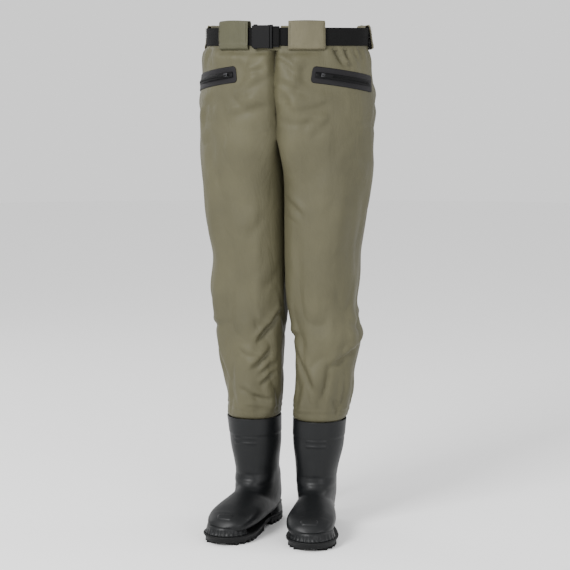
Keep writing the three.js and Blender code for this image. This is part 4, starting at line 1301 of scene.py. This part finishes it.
def edge_stitches(name, start, end, path):
    """Two rows of short stitches near the loop's side edges."""
    outer = [(away, z) for away, z in path if away > BELT_CLEARANCE + WEBBING + LOOP_CLEARANCE]
    if len(outer) < 4:
        raise RuntimeError(f"{name} has no outer face to stitch")
    away = max(a for a, _ in outer)
    low, high = min(z for _, z in outer) + 0.004, max(z for _, z in outer) - 0.004
    bm = new_bmesh()
    for turn in (start + STITCH_INSET, end - STITCH_INSET):
        origin = hip_point(turn, BELT_LEVEL, away + 0.0001)
        ahead = hip_point(turn + 0.5, BELT_LEVEL, away) - hip_point(turn - 0.5, BELT_LEVEL, away)
        ahead.normalize()
        outward = Vector((ahead.y, -ahead.x, 0))
        z = low
        while z < high:
            place = Matrix((
                (ahead.x, outward.x, 0, origin.x),
                (ahead.y, outward.y, 0, origin.y),
                (0, 0, 1, z),
                (0, 0, 0, 1),
            ))
            brick(bm, (-0.0003, -0.0003, 0.0), (0.0003, 0.0004, 0.0024), place)
            z += STITCH_PITCH
    obj = to_object(bm, name, [material("thread")], merge=0)
    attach(obj, "hips")


TAIL_ROOM = 0.022  # how far the tail's end can slide before it meets the rest of the belt
BUCKLE_GAP = 0.0004


class WADERS_OT_belt(bpy.types.Operator):
    """Makes the webbing belt and the tail that its plug carries"""
    bl_idname = "waders.belt"
    bl_label = "Belt"

    def execute(self, context):
        thickness = context.scene.waders_sizes.webbing_thickness
        centre = BELT_CLEARANCE + thickness / 2
        height = BELT_TOP - BELT_BOTTOM
        broken = self.turn_of(TAIL_HIGH.x + TAIL_ROOM)
        at_socket = 360 + self.turn_of(SOCKET_LOW.x - BUCKLE_GAP)
        at_plug = self.turn_of(PLUG_HIGH.x + BUCKLE_GAP)
        pieces = (
            ("belt_strap", "belt", "hips", broken, at_socket, 220),
            ("belt_tail_strap", "belt_tail", "buckle_plug", at_plug, self.turn_of(TAIL_HIGH.x), 24),
        )
        for name, node, body, from_turn, to_turn, steps in pieces:
            frames = waist_frames(turns_between(from_turn, to_turn, steps), centre, BELT_LEVEL)
            bm = new_bmesh()
            swept(bm, frames, slab(thickness / 2, height / 2, 0.0008))
            length = sum((b[0] - a[0]).length for a, b in zip(frames, frames[1:]))
            scale_uv(bm, 2 * height, length)
            swap_uv(bm)
            obj = to_object(bm, name, [material("webbing")])
            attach(obj, body)
            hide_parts(node)
        return {"FINISHED"}

    @staticmethod
    def turn_of(x):
        return math.degrees(math.asin(x / (WAIST_HALF_WIDTH + BELT_CLEARANCE + WEBBING)))


def swap_uv(bm):
    layer = bm.loops.layers.uv.active
    for face in bm.faces:
        for loop in face.loops:
            u, v = loop[layer].uv
            loop[layer].uv = (v, u)


class WADERS_OT_buckle(bpy.types.Operator):
    """Makes the side-release buckle's socket and plug, and finishes its prongs"""
    bl_idname = "waders.buckle"
    bl_label = "Buckle"

    def execute(self, context):
        self.socket()
        self.plug()
        finish_node("buckle_prong_upper", "buckle")
        finish_node("buckle_prong_lower", "buckle")
        return {"FINISHED"}

    def socket(self):
        low, high = SOCKET_LOW, SOCKET_HIGH
        prong_low, prong_high = span("buckle_prong_upper", "buckle_prong_lower")
        gap = 0.0006
        wall = 0.0025
        back, front = prong_high.y + gap, prong_low.y - gap
        rails_end = prong_low.x - 0.002
        bm = new_bmesh()
        # Front and back plates.
        brick(bm, (low.x + 0.003, low.y, low.z + 0.001), (high.x, front, high.z - 0.001))
        brick(bm, (low.x + 0.003, back, low.z + 0.001), (high.x, high.y, high.z - 0.001))
        # Lower and upper rail at the strap's end, and the bar that the strap turns round.
        for z in (low.z + 0.003, high.z - 0.003 - wall):
            brick(bm, (low.x, low.y + 0.001, z), (rails_end, high.y - 0.001, z + wall))
        brick(bm, (low.x, low.y + 0.0014, low.z + 0.002), (low.x + 0.0042, high.y - 0.001, high.z - 0.002))
        # Corners of the mouth.
        for sign in (1, -1):
            edge = BELT_LEVEL + sign * (high.z - low.z) / 2
            inner = edge - sign * wall
            z0, z1 = sorted((edge - sign * 0.0004, inner))
            brick(bm, (high.x - 0.0042, front - 0.001, z0), (high.x - 0.0002, back + 0.001, z1))
        obj = to_object(bm, "buckle_socket_shell", [material("buckle")], merge=0)
        rounded(obj, 0.0011, 3)
        bake(obj)
        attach(obj, "hips")
        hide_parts("buckle_socket")

    def plug(self):
        low, high = PLUG_LOW, PLUG_HIGH
        prong_low, prong_high = span("buckle_prong_upper", "buckle_prong_lower")
        base = prong_high.x + 0.0004
        face = low.y + 0.004
        back = high.y - 0.0002
        bm = new_bmesh()
        # Shoulder, the ladder's two rails and three bars, and the tongue between the prongs.
        brick(bm, (base, low.y, low.z), (base + 0.005, high.y, high.z))
        brick(bm, (base + 0.004, face, low.z + 0.003), (high.x, back, low.z + 0.006))
        brick(bm, (base + 0.004, face, high.z - 0.006), (high.x, back, high.z - 0.003))
        for x in (base + 0.0057, base + 0.0113, high.x - 0.0018):
            brick(bm, (x, face, low.z + 0.004), (x + 0.0017, back, high.z - 0.004))
        tongue_top = (base + 0.001, prong_high.y, BELT_LEVEL + 0.004)
        brick(bm, (low.x, prong_low.y, BELT_LEVEL - 0.004), tongue_top)
        obj = to_object(bm, "buckle_plug_frame", [material("buckle")], merge=0)
        rounded(obj, 0.0007, 2)
        bake(obj)
        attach(obj, "buckle_plug")
        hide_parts("buckle_plug")
        self.ladder_webbing(base, face, high)

    def ladder_webbing(self, base, face, high):
        """Webbing that passes over the ladder's bars."""
        half = (BELT_TOP - BELT_BOTTOM) / 2
        columns, rows = 12, 22
        profile = smooth_path([
            (base + 0.0055, high.y - 0.0008), (base + 0.0060, face - 0.0006), (base + 0.0125, face - 0.0008),
            (high.x - 0.0004, face + 0.0004), (high.x + 0.0006, high.y - 0.0014),
        ], rows, 0.3)

        def place(column, row):
            x, y = profile[row]
            return Vector((x, y, BELT_LEVEL + mix(-half, half, column / columns)))

        bm = new_bmesh()
        warped_grid(bm, columns, rows, place)
        scale_uv(bm, 2 * half, 0.024)
        swap_uv(bm)
        obj = to_object(bm, "ladder_webbing", [material("webbing")])
        thick(obj, 0.0012, offset=0.0)
        bake(obj)
        fix_outward(obj)
        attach(obj, "buckle_plug")


# ---- Zip track, as in the CAD source ----

def joint_row(name):
    return next(joint for joint in frame["joints"] if joint["name"] == name)


class Track:
    """The arc that a zip slider runs on, from its joint."""

    def __init__(self, name, side):
        joint = joint_row(f"zip_slide_{name}")
        self.side = side
        self.centre = Vector(joint["pos_m"])
        self.axis = Vector(joint["axis"]).normalized()
        low, high = span(f"zip_slider_{name}")
        middle = (low + high) / 2
        spoke = middle - self.centre
        self.up = self.axis * side
        spoke -= self.axis * spoke.dot(self.axis)
        self.radius = spoke.length - SLIDER_RISE
        self.spoke = spoke.normalized()
        self.first = -(ZIP_END + SLIDER_GAP + SLIDER_HALF_LENGTH) / self.radius
        level, half_width, _ = HIP_LEVELS[3]
        self.slope = (half_width - WAIST_HALF_WIDTH) / (WAIST_BOTTOM - level)

    def point(self, along, up, out):
        """A place from its distance along the facing, its height over the track and its distance outwards."""
        turned = Matrix.Rotation(self.first + along / self.radius, 3, self.axis) @ self.spoke
        return self.centre + turned * (self.radius + out - up * self.slope) + self.up * up

    def directions(self, along):
        ahead = (self.point(along + 0.001, 0, 0) - self.point(along - 0.001, 0, 0)).normalized()
        up = (self.point(along, 0.001, 0) - self.point(along, -0.001, 0)).normalized()
        outward = (self.point(along, 0, 0.001) - self.point(along, 0, 0)).normalized()
        outward = (outward - up * outward.dot(up)).normalized()
        return ahead, up, outward

    def frame_at(self, along, origin):
        return Matrix.Translation(origin) @ Matrix(self.directions(along)).transposed().to_4x4()


class WADERS_OT_pockets(bpy.types.Operator):
    """Makes the welded pocket facings, the zips with their sliders and pulls, and finishes the hidden bags"""
    bl_idname = "waders.pockets"
    bl_label = "Pockets"

    def execute(self, context):
        for name, side in SIDES:
            track = Track(name, side)
            self.facing(name, side, track)
            self.zip(name, track)
            self.slider(name, track)
            finish_node(f"pocket_bag_{name}", "lining")
        return {"FINISHED"}

    def facing(self, name, side, track):
        half = FACING_HEIGHT / 2
        corner = 0.0085
        slot = 0.0019
        columns, rows = 96, 10

        def half_height(along):
            """Half the facing's height, which is rounded at its inner end and eased at its outer one."""
            past = max(0.0, corner - along)
            reach = half - corner + math.sqrt(max(corner * corner - past * past, 0.0))
            if along > FACING_LENGTH - 0.003:
                reach -= 0.0012 * ((along - FACING_LENGTH + 0.003) / 0.003) ** 2
            return reach

        def on_hip(point, out):
            wide, deep = at_level(HIP_LEVELS, point.z, 1), at_level(HIP_LEVELS, point.z, 2)
            turn = math.degrees(math.atan2(abs(point.x) / wide, -(point.y - MIDDLE_Y) / deep))
            base = hip_out(side, turn, point.z)
            return hip_point(turn, point.z, base + out, side)

        def place(column, row, half_sign):
            along = FACING_LENGTH * (column / columns) ** 1.15
            reach = half_height(along)
            low_share, high_share = min(half_sign, 0.0), max(half_sign, 0.0)
            up = mix(low_share, high_share, row / rows) * reach
            if ZIP_END < along < FACING_LENGTH - ZIP_END and abs(up) < slot:
                up = math.copysign(slot, half_sign)
            edge = 1 - ease((reach - abs(up)) / 0.0016)
            return on_hip(track.point(along, up, 0), 0.0019 - 0.0012 * edge)

        bm = new_bmesh()
        warped_grid(bm, columns, rows, lambda column, row: place(column, row, -1.0))
        warped_grid(bm, columns, rows, lambda column, row: place(column, row, 1.0))
        obj = to_object(bm, f"facing_{name}", [material("facing")], merge=1e-4)
        thick(obj, 0.0012)
        bake(obj)
        fix_outward(obj)
        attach(obj, "hips")
        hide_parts(f"pocket_facing_{name}")

    def zip(self, name, track):
        start, end = ZIP_END / 2, FACING_LENGTH - ZIP_END / 2

        def place(column, row):
            return track.point(mix(start, end, column / 60), mix(-0.006, 0.006, row / 2), 0.0006)

        bm = new_bmesh()
        warped_grid(bm, 60, 2, place)
        tape = to_object(bm, f"tape_{name}", [material("chain")])
        thick(tape, 0.0006, offset=0.0)
        bake(tape)
        fix_outward(tape)
        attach(tape, "hips")
        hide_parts(f"zip_tape_{name}")

        bm = new_bmesh()
        along = ZIP_END + 0.001
        row = 0
        while along < FACING_LENGTH - ZIP_END - 0.001:
            tooth = track.frame_at(along, track.point(along, 0, 0.0019))
            shift = 0.0004 if row % 2 else -0.0004
            brick(bm, (-0.0005, -0.0019 + shift, -0.0007), (0.0005, 0.0019 + shift, 0.0005), tooth)
            along += 0.0015
            row += 1
        teeth = to_object(bm, f"chain_{name}", [material("chain")], merge=0)
        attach(teeth, "hips")
        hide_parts(f"zip_chain_{name}")

    def slider(self, name, track):
        middle = ZIP_END + SLIDER_GAP + SLIDER_HALF_LENGTH
        place = track.frame_at(middle, track.point(middle, 0, SLIDER_RISE))
        bm = new_bmesh()
        verts = brick(bm, (-0.0052, -0.0041, 0.0), (0.0052, 0.0041, 0.0019), place)
        for vert in verts:
            local = place.inverted() @ vert.co
            if local.x > 0:
                local.y *= 0.68
            vert.co = place @ local
        # The bridge that holds the pull.
        brick(bm, (-0.0044, -0.0008, 0.0015), (-0.0034, 0.0008, 0.0042), place)
        brick(bm, (0.0010, -0.0008, 0.0015), (0.0020, 0.0008, 0.0042), place)
        brick(bm, (-0.0044, -0.0008, 0.0034), (0.0020, 0.0008, 0.0042), place)
        body = to_object(bm, f"slider_{name}", [material("metal")], merge=0)
        rounded(body, 0.0005)
        bake(body)
        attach(body, f"zip_slider_{name}")
        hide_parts(f"zip_slider_{name}")
        self.pull(name, track)

    def pull(self, name, track):
        half_thick = 0.0006
        pivot = Vector(joint_row(f"pull_flip_{name}")["pos_m"])
        place = track.frame_at(ZIP_END + SLIDER_GAP + 0.003, pivot)
        edge = [
            (-0.0011, 0.0022), (0.004, 0.0022), (0.007, 0.0032), (0.018, 0.0035), (0.0205, 0.0028),
            (0.0215, 0.0012),
        ]
        points = edge + [(x, -y) for x, y in reversed(edge)]
        bm = new_bmesh()
        face = bm.faces.new([bm.verts.new(place @ Vector((x, y, -half_thick))) for x, y in points])
        extruded = bmesh.ops.extrude_face_region(bm, geom=[face])["geom"]
        lifted = [item for item in extruded if isinstance(item, bmesh.types.BMVert)]
        bmesh.ops.translate(bm, verts=lifted, vec=place.to_3x3() @ Vector((0, 0, 2 * half_thick)))
        pull = to_object(bm, f"pull_{name}", [material("buckle")], merge=0)
        rounded(pull, 0.0004)
        bake(pull)
        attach(pull, f"zip_pull_{name}")
        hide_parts(f"zip_pull_{name}")


TAPER_STEPS = 19
NOTCH_STEPS = 12
RIM_STEPS = 192
# Label, CAD node, stretch of the outline, and the section's height over the sole, reach and lean.
RIMS = (
    ("toe_rim", "toe_bumper", (0.345, 0.675), (
        (0.0, -0.002, 0.0), (0.0004, 0.0016, 0.0), (0.0022, 0.0016, 0.2), (0.0046, 0.0008, 0.5),
        (0.0064, -0.0002, 0.6), (0.012, -0.0014, 0.8), (0.0175, -0.0026, 1.0), (0.0196, -0.0056, 1.0),
        (0.0, -0.0070, 0.0),
    )),
    ("heel_rim", "heel_counter", (-0.155, 0.155), (
        (0.0, -0.0010, 0.0), (0.0004, 0.0012, 0.0), (0.004, 0.0016, 0.2), (0.010, 0.0008, 0.5),
        (0.016, 0.0003, 0.8), (0.0182, 0.0008, 1.0), (0.0200, 0.0002, 1.0), (0.0202, -0.0040, 1.0),
        (0.0, -0.0060, 0.0),
    )),
)
# Reach and steps of the pale bead round the heel, a painted highlight along the rim's top edge.
HIGHLIGHT_REACH = 0.145
HIGHLIGHT_STEPS = 96
SEAT = SOLE_THICKNESS - HEEL_SEAT
ARCH_FRONT = HEEL_BREAST - ARCH_LENGTH
# Rings of each layer of the sole: height and reach past the outline.
FORE_RINGS = (
    (TREAD_DEPTH, -0.0012), (TREAD_DEPTH + 0.0012, 0.0), (0.012, 0.0010), (0.0165, 0.0044), (0.0186, 0.0050),
    (0.0202, 0.0040),
)
ARCH_RINGS = ((ARCH_RISE, -0.0012), (ARCH_RISE + 0.001, 0.0), (0.0188, 0.0012), (0.0202, 0.0006))
REAR_RINGS = ((SEAT, 0.0), (SEAT + 0.001, 0.0010), (0.0188, 0.0014), (0.0202, 0.0006))
BLOCK_RINGS = (
    (TREAD_DEPTH, 0.0004), (TREAD_DEPTH + 0.001, 0.0012), (SEAT - 0.0005, 0.0022), (SEAT - 0.0002, 0.0016),
)


def along_outline(outline, share):
    """The outline's point at a share of the way round, and the direction outwards there."""
    count = len(outline)
    index = (share % 1.0) * count
    point = outline[int(index) % count].lerp(outline[(int(index) + 1) % count], index % 1)
    return point, sole_outward(point)


class WADERS_OT_boots(bpy.types.Operator):
    """Makes both rubber boots: upper, toe pad, rims, sole and heel, and finishes their linings"""
    bl_idname = "waders.boots"
    bl_label = "Boots"

    def execute(self, context):
        outline = sole_points(0.0)
        for name, side in SIDES:
            self.upper(name, side)
            self.toe_pad(name, side)
            for rim in RIMS:
                self.rim(name, side, outline, *rim)
            # Pale bead round the heel rim: a painted highlight.
            self.heel_highlight(name, side, outline)
            self.sole(name, side)
            self.heel(name, side)
            finish_node(f"insole_{name}", "insole")
            finish_node(f"cuff_sleeve_{name}", "lining")
        return {"FINISHED"}

    def upper(self, name, side):
        around, rows = 120, 150

        def place(column, row):
            turn = 360 * (column % around) / around
            position = (RING_COUNT - 1) * (row / rows)
            out = boot_out(side, turn, position)
            return boot_world(side, boot_point(turn, position, out))

        bm = new_bmesh()
        warped_grid(bm, around, rows, place)
        obj = to_object(bm, f"boot_{name}", [material("rubber")], merge=3e-5)
        thick(obj, BOOT_WALL)
        bake(obj)
        fix_outward(obj)
        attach(obj, f"shin_{name}")
        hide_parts(f"boot_shaft_{name}", f"boot_foot_{name}", f"boot_collar_{name}")

    def toe_pad(self, name, side):
        """A plain moulded pad on the toe."""
        columns, rows = 36, 24

        def place(column, row):
            u, v = 2 * column / columns - 1, 2 * row / rows - 1
            turn, position = 27 * u, 18.7 + 0.5 * v
            away = (u ** 4 + v ** 4) ** 0.25
            lift = boot_out(side, turn, position) + 0.0026 * ease((1 - away) / 0.35) - 0.0008
            return boot_world(side, boot_point(turn, position, lift))

        bm = new_bmesh()
        warped_grid(bm, columns, rows, place)
        obj = to_object(bm, f"toe_pad_{name}", [material("rubber")], merge=0)
        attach(obj, f"shin_{name}")

    def rim(self, name, side, outline, label, node, stretch, profile):
        """A raised band along part of the sole's outline, ribbed at the toe and tapered at its ends."""
        stations = [along_outline(outline, mix(*stretch, k / RIM_STEPS)) for k in range(RIM_STEPS + 1)]

        def place(column, row):
            point, outward = stations[row]
            height, out, lean = profile[column % len(profile)]
            taper = ease(min(row, RIM_STEPS - row) / TAPER_STEPS)
            notch = 0.0
            if label == "toe_rim" and 0.0 < height < 0.007:
                notch = -0.0007 * (1 - math.cos(2 * math.pi * row / NOTCH_STEPS))
            height *= mix(0.25, 1.0, taper)
            reach = mix(-0.0035, out, taper) + notch * taper
            flat = point + outward * (reach - 0.0016 * lean)
            return boot_world(side, Vector((flat.x, flat.y, SOLE_THICKNESS + height)))

        bm = new_bmesh()
        warped_grid(bm, len(profile), RIM_STEPS, place)
        bmesh.ops.remove_doubles(bm, verts=bm.verts, dist=1e-6)
        fill_holes(bm)
        obj = to_object(bm, f"{label}_{name}", [material("rubber")])
        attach(obj, f"shin_{name}")
        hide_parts(f"{node}_{name}")

    def heel_highlight(self, name, side, outline):
        """A pale bead that runs round the heel rim's upper edge: a painted highlight standing in for the
        light caught by that edge.
        """
        frames = []
        for k in range(HIGHLIGHT_STEPS + 1):
            point, outward = along_outline(outline, mix(-HIGHLIGHT_REACH, HIGHLIGHT_REACH, k / HIGHLIGHT_STEPS))
            point = point - outward * 0.0012
            origin = Vector((point.x, point.y, SOLE_THICKNESS + 0.0196))
            frames.append((origin, outward.to_3d(), Vector((0, 0, 1))))
        ring = [(0.0011 * math.cos(math.pi * k / 4), 0.0009 * math.sin(math.pi * k / 4)) for k in range(8)]
        bm = new_bmesh()
        swept(bm, frames, ring)
        carry(bm, side)
        obj = to_object(bm, f"heel_highlight_{name}", [material("line")])
        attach(obj, f"shin_{name}")

    def sole(self, name, side):
        bm = new_bmesh()
        sole_layer(bm, FORE_RINGS, -0.22, ARCH_FRONT)
        sole_layer(bm, ARCH_RINGS, ARCH_FRONT - 0.0005, HEEL_BREAST + 0.001)
        sole_layer(bm, REAR_RINGS, HEEL_BREAST, 0.12)
        lug_rows(bm, ARCH_FRONT - 0.003, -0.205, 0.0105, 0.0006)
        self.tread(bm, side, f"sole_{name}", f"shin_{name}", f"outsole_{name}")

    def heel(self, name, side):
        bm = new_bmesh()
        sole_layer(bm, BLOCK_RINGS, HEEL_BREAST, 0.12)
        lug_rows(bm, 0.0835, HEEL_BREAST - 0.002, 0.0108, 0.0016)
        self.tread(bm, side, f"heel_{name}", f"shin_{name}", f"heel_block_{name}")

    def tread(self, bm, side, name, body, node):
        carry(bm, side)
        obj = to_object(bm, name, [material("sole")], smooth=False, merge=0)
        rounded(obj, 0.0006)
        bake(obj)
        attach(obj, body)
        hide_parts(node)


class WADERS_PT_panel(bpy.types.Panel):
    """Lists the pieces of the waders and their sizes and colours"""
    bl_idname = "WADERS_PT_panel"
    bl_label = "Waders"
    bl_space_type = "VIEW_3D"
    bl_region_type = "UI"
    bl_category = "Waders"

    def draw(self, context):
        layout = self.layout
        for operator in OPERATORS:
            layout.operator(operator.bl_idname)
        for group in (context.scene.waders_sizes, context.scene.waders_look):
            box = layout.box()
            for key in group.bl_rna.properties.keys():
                if key not in ("rna_type", "name"):
                    box.prop(group, key)


OPERATORS = (
    WADERS_OT_stage,
    WADERS_OT_trousers,
    WADERS_OT_waistband,
    WADERS_OT_belt,
    WADERS_OT_buckle,
    WADERS_OT_pockets,
    WADERS_OT_boots,
)
CLASSES = (WadersSizes, WadersLook, *OPERATORS, WADERS_PT_panel)


def register():
    for cls in CLASSES:
        bpy.utils.register_class(cls)
    bpy.types.Scene.waders_sizes = PointerProperty(type=WadersSizes)
    bpy.types.Scene.waders_look = PointerProperty(type=WadersLook)


def unregister():
    del bpy.types.Scene.waders_look
    del bpy.types.Scene.waders_sizes
    for cls in reversed(CLASSES):
        bpy.utils.unregister_class(cls)


def main():
    register()
    bpy.ops.waders.stage()
    bpy.ops.waders.trousers()
    bpy.ops.waders.waistband()
    bpy.ops.waders.belt()
    bpy.ops.waders.buckle()
    bpy.ops.waders.pockets()
    bpy.ops.waders.boots()
    bpy.context.view_layer.update()


if __name__ == "__main__":
    main()
